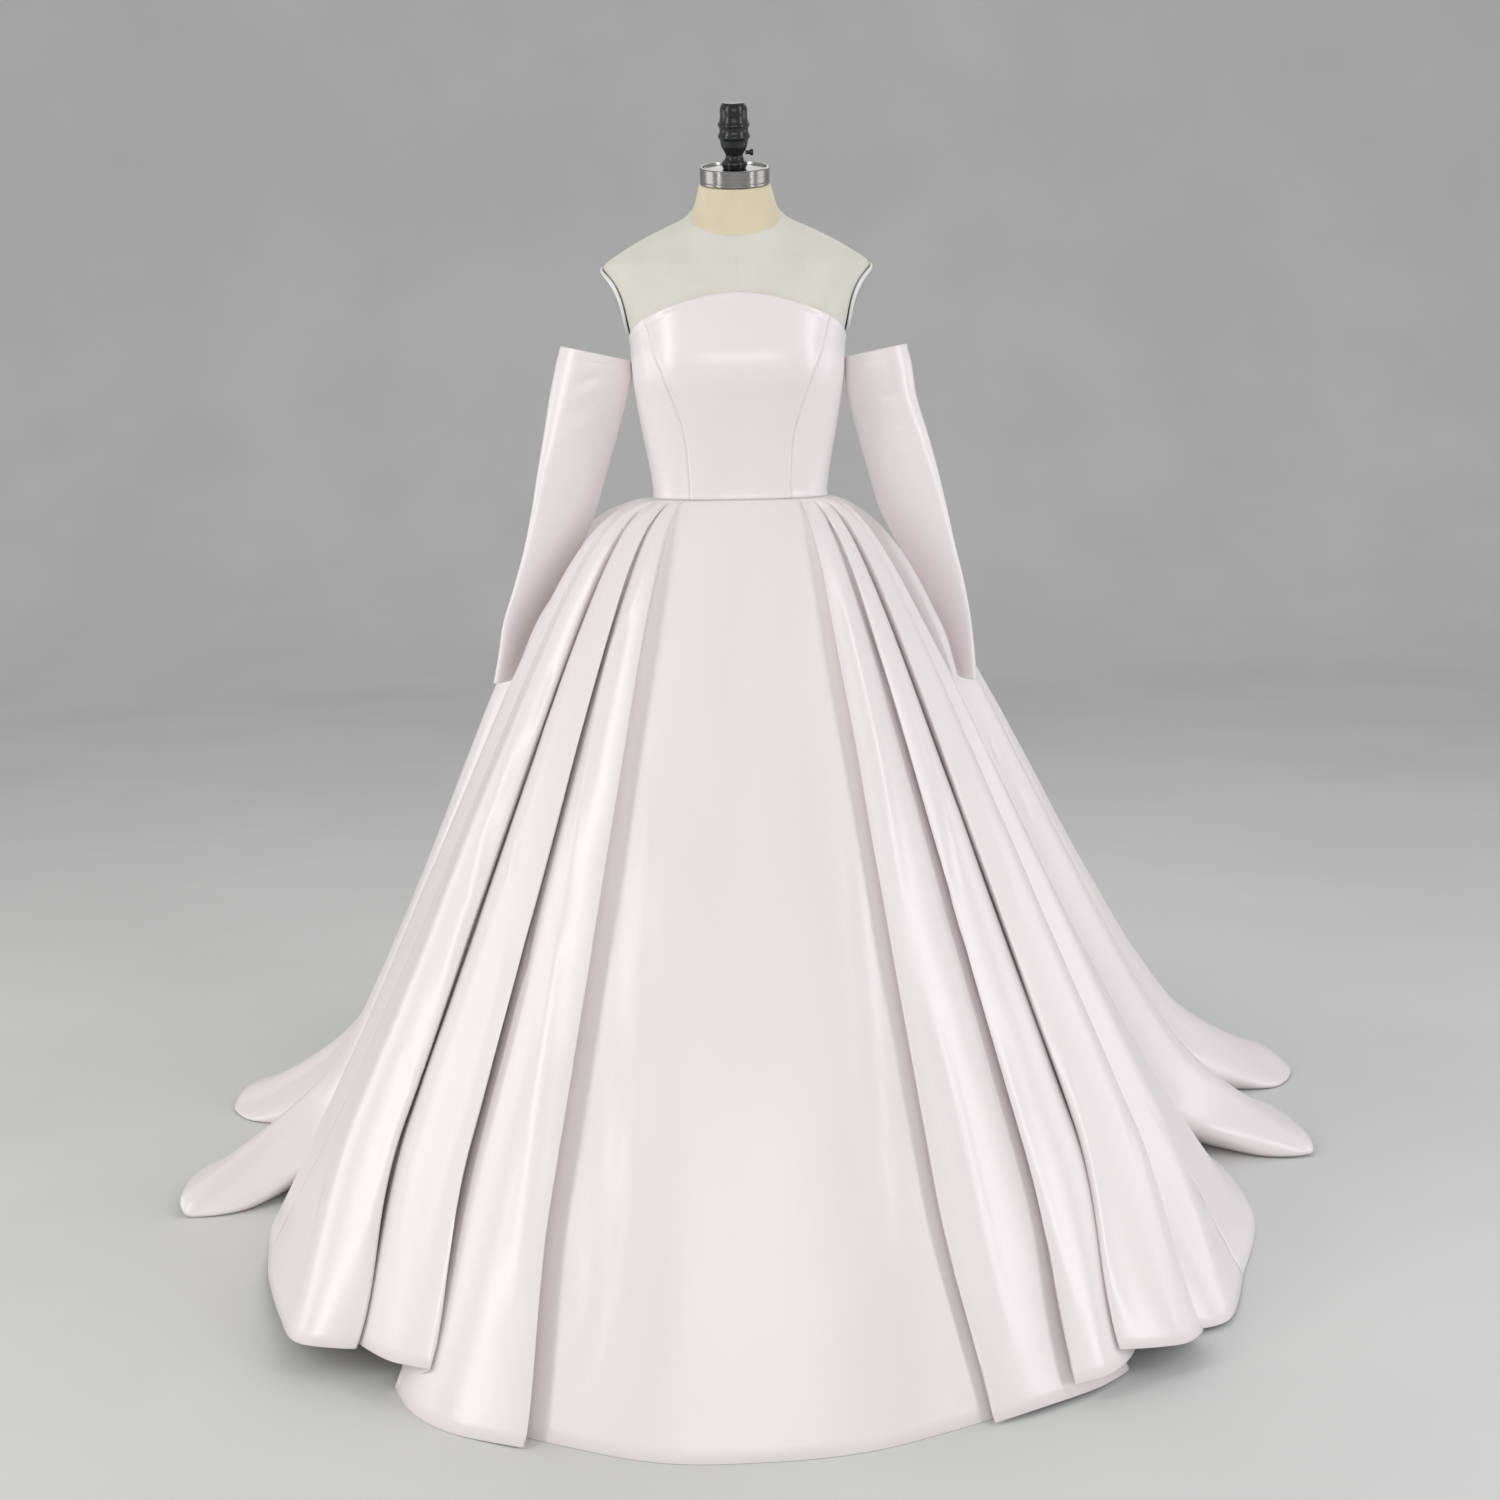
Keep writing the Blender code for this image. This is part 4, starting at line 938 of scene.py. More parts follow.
@dataclass(frozen=True)
class WovenCottonCover:
    """Unbleached cotton in plain weave, stretched over the form and pressed."""

    name: str = "cotton_cover_plain_woven"
    light: str = "#E1DFD5"
    dark: str = "#D9D7CB"
    thread_pitch: float = 0.9 * MILLIMETRE

    def material(self) -> bpy.types.Material:
        """Build the cover: dry and matt, with a fine crossed weave and faint uneven yellowing.

        Returns:
            The material.
        """
        # Matt spun threads scatter light evenly, so the form looks dry beside the satin
        look, tree, shader = start_finish(
            self.name, {"Roughness": 0.86, "IOR": 1.5, "Specular IOR Level": 0.3, "Sheen Weight": 0.2}
        )
        place = add_node(tree, "ShaderNodeUVMap", {"uv_map": "cloth"}).outputs[0]
        # Real threads are 0.4 mm apart; they are drawn 0.9 mm apart so that they show
        turns = math.pi / self.thread_pitch / 10
        warp = add_node(
            tree,
            "ShaderNodeTexWave",
            {"bands_direction": "X"},
            {"Vector": place, "Scale": turns, "Distortion": 0.6},
        )
        weft = add_node(
            tree,
            "ShaderNodeTexWave",
            {"bands_direction": "Y"},
            {"Vector": place, "Scale": turns, "Distortion": 0.6},
        )
        weave = add_node(
            tree, "ShaderNodeMath", {"operation": "MULTIPLY"}, {0: warp.outputs["Fac"], 1: weft.outputs["Fac"]}
        )
        patches = add_node(
            tree, "ShaderNodeTexNoise", inputs={"Vector": place, "Scale": 14.0, "Detail": 4.0}
        )
        tint = add_node(tree, "ShaderNodeValToRGB", inputs={"Fac": patches.outputs["Fac"]})
        tint.color_ramp.elements[0].position, tint.color_ramp.elements[0].color = 0.3, linear(self.dark)
        tint.color_ramp.elements[1].position, tint.color_ramp.elements[1].color = 0.7, linear(self.light)
        tree.links.new(tint.outputs["Color"], shader.inputs["Base Color"])
        bump = add_node(
            tree,
            "ShaderNodeBump",
            inputs={"Height": weave.outputs[0], "Strength": 0.4, "Distance": 0.15 * MILLIMETRE},
        )
        tree.links.new(bump.outputs[0], shader.inputs["Normal"])
        return look


@dataclass(frozen=True)
class MouldedPlastic:
    """ABS, injection moulded, with a fine spark-eroded grain and light handling marks."""

    name: str
    shade: str
    worn: str
    roughness: float
    grain: float = 0.8 * MILLIMETRE

    def material(self) -> bpy.types.Material:
        """Build the plastic: one dyed colour, a fine grain and duller patches.

        Returns:
            The material.
        """
        # The grain breaks up the gloss, and handling leaves it a little duller in patches
        look, tree, shader = start_finish(self.name, {"Roughness": self.roughness, "IOR": 1.53})
        place = add_node(tree, "ShaderNodeTexCoord").outputs["Object"]
        grain = add_node(
            tree, "ShaderNodeTexNoise", inputs={"Vector": place, "Scale": 1 / self.grain, "Detail": 2.0}
        )
        marks = add_node(tree, "ShaderNodeTexNoise", inputs={"Vector": place, "Scale": 90.0, "Detail": 5.0})
        tint = add_node(tree, "ShaderNodeValToRGB", inputs={"Fac": marks.outputs["Fac"]})
        tint.color_ramp.elements[0].position, tint.color_ramp.elements[0].color = 0.35, linear(self.shade)
        tint.color_ramp.elements[1].position, tint.color_ramp.elements[1].color = 0.75, linear(self.worn)
        tree.links.new(tint.outputs["Color"], shader.inputs["Base Color"])
        dull = add_node(
            tree,
            "ShaderNodeMapRange",
            inputs={"Value": marks.outputs["Fac"], "To Min": self.roughness - 0.06, "To Max": self.roughness + 0.12},
        )
        tree.links.new(dull.outputs[0], shader.inputs["Roughness"])
        bump = add_node(
            tree,
            "ShaderNodeBump",
            inputs={"Height": grain.outputs["Fac"], "Strength": 0.25, "Distance": 0.05 * MILLIMETRE},
        )
        tree.links.new(bump.outputs[0], shader.inputs["Normal"])
        return look


@dataclass(frozen=True)
class BrushedSteel:
    """Stainless steel, turned and then brushed round with a fine belt."""

    name: str
    shade: str = "#8A8886"
    bright: str = "#B4B1AE"
    brush_pitch: float = 0.5 * MILLIMETRE

    def material(self) -> bpy.types.Material:
        """Build the steel: fine lines round the piece that draw its highlights out sideways.

        Returns:
            The material.
        """
        # Lines of the belt run round the cap, so a lamp shows as an upright streak across them
        look, tree, shader = start_finish(self.name, {"Roughness": 0.22, "Metallic": 1.0})
        place = add_node(tree, "ShaderNodeUVMap", {"uv_map": "cloth"}).outputs[0]
        lines_at = add_node(
            tree, "ShaderNodeMapping", inputs={"Vector": place, "Scale": (6, 1 / self.brush_pitch, 1)}
        )
        lines = add_node(
            tree, "ShaderNodeTexNoise", inputs={"Vector": lines_at.outputs[0], "Scale": 1.0, "Detail": 3.0}
        )
        tint = add_node(tree, "ShaderNodeValToRGB", inputs={"Fac": lines.outputs["Fac"]})
        tint.color_ramp.elements[0].position, tint.color_ramp.elements[0].color = 0.35, linear(self.shade)
        tint.color_ramp.elements[1].position, tint.color_ramp.elements[1].color = 0.7, linear(self.bright)
        tree.links.new(tint.outputs["Color"], shader.inputs["Base Color"])
        polish = add_node(
            tree, "ShaderNodeMapRange", inputs={"Value": lines.outputs["Fac"], "To Min": 0.16, "To Max": 0.3}
        )
        tree.links.new(polish.outputs[0], shader.inputs["Roughness"])
        bump = add_node(
            tree,
            "ShaderNodeBump",
            inputs={"Height": lines.outputs["Fac"], "Strength": 0.3, "Distance": 0.04 * MILLIMETRE},
        )
        tree.links.new(bump.outputs[0], shader.inputs["Normal"])
        return look


@dataclass(frozen=True)
class StudioPaper:
    """Seamless background paper, rolled out over wall and floor."""

    name: str = "background_paper_rolled"
    shade: str = "#D9DAD8"
    dark: str = "#D4D5D3"

    def material(self) -> bpy.types.Material:
        """Build the paper: matt and plain, with the faintest cloudiness.

        Returns:
            The material.
        """
        # Uncoated paper is matt, so the floor takes only soft shadows and no reflections
        look, tree, shader = start_finish(self.name, {"Roughness": 0.92, "IOR": 1.45})
        place = add_node(tree, "ShaderNodeTexCoord").outputs["Object"]
        cloud = add_node(tree, "ShaderNodeTexNoise", inputs={"Vector": place, "Scale": 1.5, "Detail": 3.0})
        tint = add_node(tree, "ShaderNodeValToRGB", inputs={"Fac": cloud.outputs["Fac"]})
        tint.color_ramp.elements[0].position, tint.color_ramp.elements[0].color = 0.35, linear(self.dark)
        tint.color_ramp.elements[1].position, tint.color_ramp.elements[1].color = 0.65, linear(self.shade)
        tree.links.new(tint.outputs["Color"], shader.inputs["Base Color"])
        return look


# Sub-assemblies


@dataclass
class DressForm:
    """Filled, smooth, limbless torso with its neck, in a seamed cotton cover."""

    cover: bpy.types.Material
    neck_cover: bpy.types.Material
    plate: bpy.types.Material
    rim: bpy.types.Material
    quarter_columns: int = 46
    body_rows: int = 150
    neck_rows: int = 40
    seam_width: float = 1.3 * MILLIMETRE
    seam_depth: float = 0.5 * MILLIMETRE
    plate_middle_degrees: float = 97.0
    plate_half_degrees: float = 20.5
    plate_middle_z: float = 1.332
    plate_half_height: float = 0.046
    plate_clear: float = 0.0020
    plate_thickness: float = 0.004
    pieces: list[bpy.types.Object] = field(default_factory=list)

    def neck_base(self, angle: np.ndarray) -> np.ndarray:
        """Give the height of the neck-base seam at each angle from the front."""
        return 1.4340 - 0.0180 * np.cos(angle) + 0.0160 * np.sin(angle) ** 2

    def princess(self, z: np.ndarray) -> np.ndarray:
        """Give the angle of the cover's princess seams at each height, in radians."""
        heights = [row.z for row in BODICE_SEAMS] + [1.40, 1.43]
        return np.radians(np.interp(z, heights, [row.princess for row in BODICE_SEAMS] + [46.0, 46.0]))

    def angles(self, z: np.ndarray) -> np.ndarray:
        """Give each row's column angles, which stand closer together beside the upright seams.

        Args:
            z: one height for each row.

        Returns:
            Angles from the front in radians, rows by columns.
        """
        even = np.arange(self.quarter_columns) / self.quarter_columns
        share = even - 0.13 * np.sin(2 * math.pi * even)
        seam = self.princess(z)[:, None]
        bounds = [np.full_like(seam, -math.pi), -seam, np.zeros_like(seam), seam, np.full_like(seam, math.pi)]
        parts = [low + (high - low) * share for low, high in zip(bounds[:-1], bounds[1:])]
        return np.concatenate(parts + [bounds[-1]], axis=1)

    def welt(self, angle: np.ndarray, z: np.ndarray) -> np.ndarray:
        """Give the height of the cover's upright seams, whose turned edges lie under the cloth.

        Args:
            angle: angles from the front, in radians.
            z: heights.

        Returns:
            Height of the seams at each point.
        """
        radius = np.interp(z, [row.z for row in FORM], [row.half_width for row in FORM]) * 0.8
        height = np.zeros_like(angle)
        princess = self.princess(z)
        for seam in (0.0, np.pi, princess, -princess):
            gap = np.abs(np.angle(np.exp(1j * (angle - seam)))) * radius
            height += np.exp(-((gap / self.seam_width) ** 2))
        return height * self.seam_depth

    def shell(self, name: str, low: np.ndarray, high: np.ndarray, rows: int, look: bpy.types.Material) -> bpy.types.Object:
        """Build one closed part of the cover between two heights.

        Args:
            name: name of the piece.
            low: lower height at each column.
            high: upper height at each column.
            rows: rows between them.
            look: its material.

        Returns:
            The piece.
        """
        share = np.linspace(1, 0, rows)[:, None]
        z = low[None] + (high - low)[None] * share
        wide = self.angles(z.mean(1))
        grid = form_point(wide, z)
        fade = np.clip((high[None] - z) / 0.002, 0, 1) * np.clip((z - low[None]) / 0.002, 0, 1)
        rise = self.welt(wide, z) * fade - (1 - fade) * 1.4 * self.seam_depth
        grid = grid + grid_normals(grid, False) * rise[..., None]
        caps = [grid[:1].mean(1, keepdims=True).repeat(grid.shape[1], 1)]
        floor = [grid[-1:].mean(1, keepdims=True).repeat(grid.shape[1], 1)]
        sheet = np.concatenate(caps + [grid] + floor)
        place = arc_lengths(sheet)
        index = np.arange(sheet.shape[0] * sheet.shape[1]).reshape(sheet.shape[:2])
        faces = np.stack([index[:-1, :-1], index[1:, :-1], index[1:, 1:], index[:-1, 1:]], -1).reshape(-1, 4)
        return link_mesh(name, sheet.reshape(-1, 3), faces, place.reshape(-1, 2)[faces], look, sharp=60)

    def arm_plate(self, side: Side) -> list[bpy.types.Object]:
        """Build the grey plate over one armhole and its pale rim.

        Args:
            side: side of the form.

        Returns:
            The plate and the rim.
        """
        steps = np.linspace(0, 2 * math.pi, 73)

        def layer(share: float, out: float) -> np.ndarray:
            """Give one ring of the plate at a share of its size and a height over the form."""
            angle = np.radians(self.plate_middle_degrees + self.plate_half_degrees * share * np.sin(steps)) * side.value
            z = self.plate_middle_z + self.plate_half_height * share * np.cos(steps)
            here = form_point(angle, z)
            normal = np.cross(form_point(angle + 0.02, z) - here, form_point(angle, z + 0.002) - here)
            normal /= np.linalg.norm(normal, axis=-1, keepdims=True)
            return here + normal * out

        base, top = self.plate_clear, self.plate_clear + self.plate_thickness
        plate_rows = [(0.01, top), (0.3, top), (0.6, top), (0.86, top - 0.0002), (0.885, top - 0.0009),
                      (0.89, base), (0.5, base), (0.01, base)]
        rim_rows = [(0.895, base + 0.0008), (0.9, top - 0.001), (0.915, top - 0.0002), (0.94, top),
                    (0.97, top - 0.0006), (0.995, top - 0.002), (1.0, base + 0.001), (0.985, base),
                    (0.91, base), (0.895, base + 0.0008)]
        made = []
        for word, rows, look in (("plate", plate_rows, self.plate), ("plate_rim", rim_rows, self.rim)):
            grid = np.stack([layer(share, out) for share, out in rows])
            index = np.arange(grid.shape[0] * grid.shape[1]).reshape(grid.shape[:2])
            faces = np.stack([index[:-1, :-1], index[:-1, 1:], index[1:, 1:], index[1:, :-1]], -1).reshape(-1, 4)
            faces = faces if side is Side.LEFT else faces[:, ::-1]
            spots = arc_lengths(grid).reshape(-1, 2)[faces]
            made.append(link_mesh(f"arm_{word}_{side.word}", grid.reshape(-1, 3), faces, spots, look, sharp=35))
        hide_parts(f"form_arm_plate_{side.word}")
        return made

    def build(self) -> list[bpy.types.Object]:
        """Build the cover, the neck and both arm plates.

        Returns:
            The form's pieces.
        """
        angle = self.angles(np.array([1.43]))[0]
        seam = self.neck_base(angle)
        bottom = np.full_like(angle, FORM[0].z)
        top = np.full_like(angle, FORM[-1].z)
        body = self.shell("form_body_cover", bottom, seam, self.body_rows, self.cover)
        neck = self.shell("form_neck_cover", seam, top, self.neck_rows, self.neck_cover)
        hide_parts("form_torso")
        self.pieces = [body, neck] + self.arm_plate(Side.LEFT) + self.arm_plate(Side.RIGHT)
        return self.pieces


@dataclass
class StandAndFittings:
    """Round base and pole under the skirt, and the cap, knob and screw over the neck."""

    steel: bpy.types.Material
    black: bpy.types.Material
    base_radius: float = 0.190
    base_height: float = 0.016
    pole_radius: float = 0.016
    cap_radius: float = 0.0462
    cap_height: float = 0.0225
    cap_rim: float = 0.0035
    cap_recess: float = 0.0030
    screw_height: float = 0.0205
    screw_radius: float = 0.0026
    head_radius: float = 0.0042
    pieces: list[bpy.types.Object] = field(default_factory=list)

    def stand(self) -> list[bpy.types.Object]:
        """Build the base plate and the pole.

        Returns:
            The base and the pole.
        """
        base = turned_mesh(
            "base_plate",
            [(0.0, self.base_radius), (0.006, self.base_radius), (0.009, self.base_radius - 0.004),
             (self.base_height, self.pole_radius * 2.2)],
            (0, 0, 0), self.steel, bevel=0.001,
        )
        pole = turned_mesh(
            "pole",
            [(self.base_height + GAP, self.pole_radius), (FORM[0].z - GAP, self.pole_radius)],
            (0, 0, 0), self.steel, segments=64,
        )
        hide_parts("stand_base")
        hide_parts("stand_pole")
        return [base, pole]

    def cap(self, seat: tuple[float, float, float]) -> bpy.types.Object:
        """Build the steel cap on the neck.

        Args:
            seat: middle of the neck's top.

        Returns:
            The cap.
        """
        plate = self.cap_height - self.cap_recess
        radius = self.cap_radius
        piece = turned_mesh(
            "steel_cap",
            [(GAP, radius - 0.0018), (0.0016, radius), (0.0040, radius), (0.0046, radius - 0.0005),
             (0.0052, radius), (self.cap_height - 0.0012, radius), (self.cap_height, radius - 0.0012),
             (self.cap_height, radius - self.cap_rim), (plate, radius - self.cap_rim - 0.001)],
            seat, self.steel, segments=128, tilt=NECK_TILT, bevel=0.0003,
        )
        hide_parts("neck_cap")
        return piece

    def knob(self, seat: tuple[float, float, float]) -> list[bpy.types.Object]:
        """Build the black knob and its thumb screw.

        Args:
            seat: middle of the neck's top.

        Returns:
            The knob and the screw.
        """
        plate = self.cap_height - self.cap_recess + GAP
        heights = np.linspace(KNOB[0].height, KNOB[-1].height, 64)
        radii = smooth_at([row.height for row in KNOB], [row.radius for row in KNOB], heights)
        profile = [(plate + float(h), float(r)) for h, r in zip(heights, radii)]
        knob = turned_mesh("black_knob", profile, seat, self.black, segments=40, tilt=NECK_TILT, bevel=0.0002)
        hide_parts("neck_knob")
        start = float(np.interp(self.screw_height + self.screw_radius, heights, radii)) + GAP
        middle = plate + self.screw_height
        lean = math.radians(NECK_TILT)
        shank = start + 0.0060
        head = [(start, self.screw_radius), (shank, self.screw_radius), (shank + 0.0002, self.head_radius - 0.0003),
                (shank + 0.0008, self.head_radius), (shank + 0.0037, self.head_radius),
                (shank + 0.0045, self.head_radius - 0.001)]
        screw = turned_mesh("thumb_screw", head, (0, 0, 0), self.black, segments=48, bevel=0.0002)
        # The screw is turned upright and then laid along +X at the knob's waist
        place = Matrix.Translation(
            (0, seat[1] - middle * math.sin(lean), seat[2] + middle * math.cos(lean))
        ) @ Matrix.Rotation(math.pi / 2, 4, "Y")
        screw.data.transform(place)
        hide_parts("knob_screw")
        return [knob, screw]

    def build(self) -> list[bpy.types.Object]:
        """Build the stand and everything over the neck.

        Returns:
            The pieces.
        """
        seat = (0.0, FORM[-1].shift, FORM[-1].z)
        self.pieces = self.stand() + [self.cap(seat)] + self.knob(seat)
        return self.pieces


@dataclass
class Bodice:
    """Five satin panels with princess seams and a faced top edge."""

    satin: bpy.types.Material
    thickness: float = 0.0016
    columns: int = 64
    low_rows: int = 70
    top_rows: int = 34
    seam_width: float = 1.5 * MILLIMETRE
    seam_depth: float = 0.8 * MILLIMETRE
    facing_depth: float = 9 * MILLIMETRE
    pieces: list[bpy.types.Object] = field(default_factory=list)

    def seam(self, name: str, side: int) -> Callable[[float], float]:
        """Give the function that reads a seam's angle at a height, in degrees."""
        heights = [row.z for row in BODICE_SEAMS]
        values = [getattr(row, name) for row in BODICE_SEAMS]
        return lambda z: side * float(smooth_at(heights, values, np.asarray(z)))

    def grid(self, start: Callable[[float], float], end: Callable[[float], float]) -> tuple[np.ndarray, np.ndarray]:
        """Lay a panel's grid over the form, from its top edge down to the waist.

        Args:
            start: angle of the first seam at a height.
            end: angle of the last seam at a height.

        Returns:
            Points on the form, and the angle of each point in degrees.
        """
        # Columns stand closer together beside both seams, where the cloth dips into them
        even = np.linspace(0, 1, self.columns)
        shares = even - 0.12 * np.sin(2 * math.pi * even)
        heights = [row.degrees for row in BODICE_TOP]
        tops = [row.z for row in BODICE_TOP]
        rows = self.low_rows + self.top_rows
        points = np.zeros((rows, self.columns, 3))
        degrees = np.zeros((rows, self.columns))
        for row in range(rows):
            rise = (row - self.low_rows + 1) / self.top_rows
            level = WAIST_Z + (BODICE_FULL_Z - WAIST_Z) * min(row / (self.low_rows - 1), 1)
            z = np.full(self.columns, level)
            here = (1 - shares) * start(level) + shares * end(level)
            for _ in range(4 if rise > 0 else 0):
                z = BODICE_FULL_Z + (smooth_at(heights, tops, np.abs(here)) - BODICE_FULL_Z) * rise
                here = np.array([(1 - s) * start(h) + s * end(h) for s, h in zip(shares, z)])
            points[rows - 1 - row] = form_point(np.radians(here), z)
            degrees[rows - 1 - row] = here
        return points, degrees

    def build_panel(
        self, name: str, start: Callable[[float], float], end: Callable[[float], float], stress: float
    ) -> bpy.types.Object:
        """Build one panel with its seams, facing and the drag of its cloth.

        Args:
            name: name of the CAD node it stands for.
            start: angle of the first seam at a height.
            end: angle of the last seam at a height.
            stress: how strongly the cloth drags beside its seams, from 0 to 1.

        Returns:
            The panel.
        """
        base, degrees = self.grid(start, end)
        normal = grid_normals(base, False)
        place = arc_lengths(base)
        left = place[..., 0] - place[:, :1, 0]
        right = place[:, -1:, 0] - place[..., 0]
        beside = np.minimum(left, right)
        top = place[..., 1]
        low = place[-1:, :, 1] - place[..., 1]
        out = np.full(beside.shape, BODICE_CLEAR + CLOTH)
        out -= self.seam_depth * np.exp(-((beside / self.seam_width) ** 2))
        out += 0.45 * MILLIMETRE * np.exp(-(((beside - 3.5 * MILLIMETRE) / (2.0 * MILLIMETRE)) ** 2))
        out += 0.7 * MILLIMETRE * np.exp(-(((low - 2.4 * MILLIMETRE) / (1.6 * MILLIMETRE)) ** 2))
        # The facing's turned edge stands a little proud, and the cloth dips just below it
        out += 0.6 * MILLIMETRE * np.exp(-((top / (6 * MILLIMETRE)) ** 4))
        out -= 0.4 * MILLIMETRE * np.exp(-(((top - self.facing_depth) / (1.6 * MILLIMETRE)) ** 2))
        pucker = np.sin(top / (11 * MILLIMETRE) + 3 * swell(base, 0.05, 1.0))
        out += stress * 0.28 * MILLIMETRE * pucker * np.exp(-((beside / (9 * MILLIMETRE)) ** 2))
        out += 0.35 * MILLIMETRE * swell(base, 0.16, 2.0) * np.clip(beside / 0.01, 0, 1)
        outer = base + normal * np.maximum(out, BODICE_CLEAR + 0.0010)[..., None]
        outer[-1, :, 2] = WAIST_Z
        piece = cloth_wall(name + "_satin", outer, self.thickness, self.satin)
        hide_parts(name)
        return piece

    def build(self) -> list[bpy.types.Object]:
        """Build all five panels.

        Returns:
            The panels.
        """
        princess_left, princess_right = self.seam("princess", -1), self.seam("princess", 1)
        side_left, side_right = self.seam("side", -1), self.seam("side", 1)
        panels = (
            ("bodice_center_front", princess_left, princess_right, 0.5),
            ("bodice_side_front_left", side_left, princess_left, 1.0),
            ("bodice_side_front_right", princess_right, side_right, 1.0),
            ("bodice_back_left", lambda z: -180.0, side_left, 0.8),
            ("bodice_back_right", side_right, lambda z: 180.0, 0.8),
        )
        self.pieces = [self.build_panel(*panel) for panel in panels]
        return self.pieces


@dataclass
class Skirt:
    """Pleated skirt and train: one surface over all the folds, cut into seven panels."""

    satin: bpy.types.Material
    thickness: float = 0.0012
    pitch: float = 7.5 * MILLIMETRE
    least_steps: int = 8
    rows: int = 124
    names: list[tuple[str, str]] = field(default_factory=list)
    starts: np.ndarray = field(default_factory=lambda: np.zeros(1))
    tightness: tuple[tuple[str, float], ...] = (("edge", 0.35), ("under", 0.4), ("crease", 0.6), ("tip", 0.55))
    pieces: list[bpy.types.Object] = field(default_factory=list)

    def shares(self) -> np.ndarray:
        """Give the rows' shares of the way down, close together at the waist and hem."""
        even = np.linspace(0, 1, self.rows)
        bent = 0.80 * even**1.7 + 0.20 * even
        return bent + 0.03 * np.sin(2 * math.pi * bent) * bent

    def fold_line(self, fold: Fold, side: int, shares: np.ndarray) -> np.ndarray:
        """Give the points of one ridge or crease from the waist to the hem.

        Args:
            fold: the ridge or crease.
            side: -1 on the image's left, 1 on its right.
            shares: shares of the way down.

        Returns:
            One point for each share.
        """
        row = form_point(np.asarray(math.radians(fold.waist)), np.asarray(WAIST_Z))
        waist_radius = math.hypot(row[0], row[1]) + BODICE_CLEAR + CLOTH
        settle = 1 - np.exp(-((shares / WAIST_SPRING_DEPTH) ** WAIST_SPRING_POWER))
        width = fold.spring * settle + (1 - fold.spring) * shares
        width = width / width[-1]
        tuck = fold.tuck * (1 - np.exp(-shares / TUCK_DEPTH)) * (1 - shares) ** 0.5
        radius = waist_radius + (fold.radius - waist_radius) * width - tuck
        start = (waist_radius / radius) ** FOLD_TURN_POWER
        start = (start - start[-1]) / (1 - start[-1])
        turn = np.clip((width - LOBE_TURN_START) / (1 - LOBE_TURN_START), 0, 1)
        turn = turn * turn * (3 - 2 * turn)
        degrees = fold.way + (fold.waist - fold.way) * start + (fold.hem - fold.way) * turn
        angle = np.radians(degrees) * side
        fall = (1 - shares) * (1 - fold.flat * shares**2)
        z = fold.lift + (WAIST_Z - GAP - fold.lift) * fall
        return np.stack([radius * np.sin(angle), -radius * np.cos(angle), z], -1)

    def surface(self) -> np.ndarray:
        """Fill the closed surface between all the fold lines.

        Returns:
            Points, rows by columns by 3, from the centre back by the left and the front.
        """
        shares = self.shares()
        lines = [("L", CENTER_BACK, -1)]
        lines += [("L", fold, -1) for fold in reversed(LEFT_FOLDS)]
        lines += [("F", CENTER_FRONT, 1)]
        lines += [("R", fold, 1) for fold in RIGHT_FOLDS]
        self.names = [(side, fold.name) for side, fold, _ in lines] + [("R", CENTER_BACK.name)]
        here = np.stack([self.fold_line(fold, sign, shares) for _, fold, sign in lines], axis=1)
        before, after, second = (np.roll(here, turn, axis=1) for turn in (1, -1, -2))
        # Wide faces get more columns than narrow ones, so that the cloth is drawn evenly at the hem
        widths = np.linalg.norm(after - here, axis=-1)[int(0.8 * self.rows)]
        counts = np.maximum(np.round(widths / self.pitch).astype(int), self.least_steps)
        self.starts = np.concatenate([[0], np.cumsum(counts)])
        fold = np.repeat(np.arange(len(counts)), counts)
        t = ((np.arange(len(fold)) - self.starts[fold]) / counts[fold])[None, :, None]
        # A pressed edge or a deep crease bends tighter than a soft ridge
        tight = np.array([next((v for k, v in self.tightness if k in name), 1.0) for _, name in self.names[:-1]])
        leave = (after - before) / 2 * tight[None, :, None]
        arrive = (second - here) / 2 * np.roll(tight, -1)[None, :, None]
        here, after, leave, arrive = (points[:, fold] for points in (here, after, leave, arrive))
        grid = (
            (2 * t**3 - 3 * t**2 + 1) * here + (t**3 - 2 * t**2 + t) * leave
            + (3 * t**2 - 2 * t**3) * after + (t**3 - t**2) * arrive
        )
        grid[..., 2] = np.maximum(grid[..., 2], HEM_Z)
        return grid

    def column(self, place: float) -> float:
        """Give the column of a place that counts in folds from the centre back by the left."""
        return float(np.interp(place, np.arange(len(self.starts)), self.starts))

    def row(self, share: float) -> float:
        """Give the row at a share of the way down."""
        return float(np.interp(share, self.shares(), np.arange(self.rows)))

    def press_lines(self) -> list[PressLine]:
        """Place the creases and ridges of the pressed pleats and the fanned folds.

        Returns:
            The press lines.
        """
        return [
            PressLine(
                tuple((self.column(place), self.row(share)) for place, share in crease.path),
                crease.width_mm * MILLIMETRE,
                abs(crease.height_mm) * MILLIMETRE,
                Pull.RIDGE if crease.height_mm > 0 else Pull.TROUGH,
            )
            for crease in SKIRT_CREASES
        ]

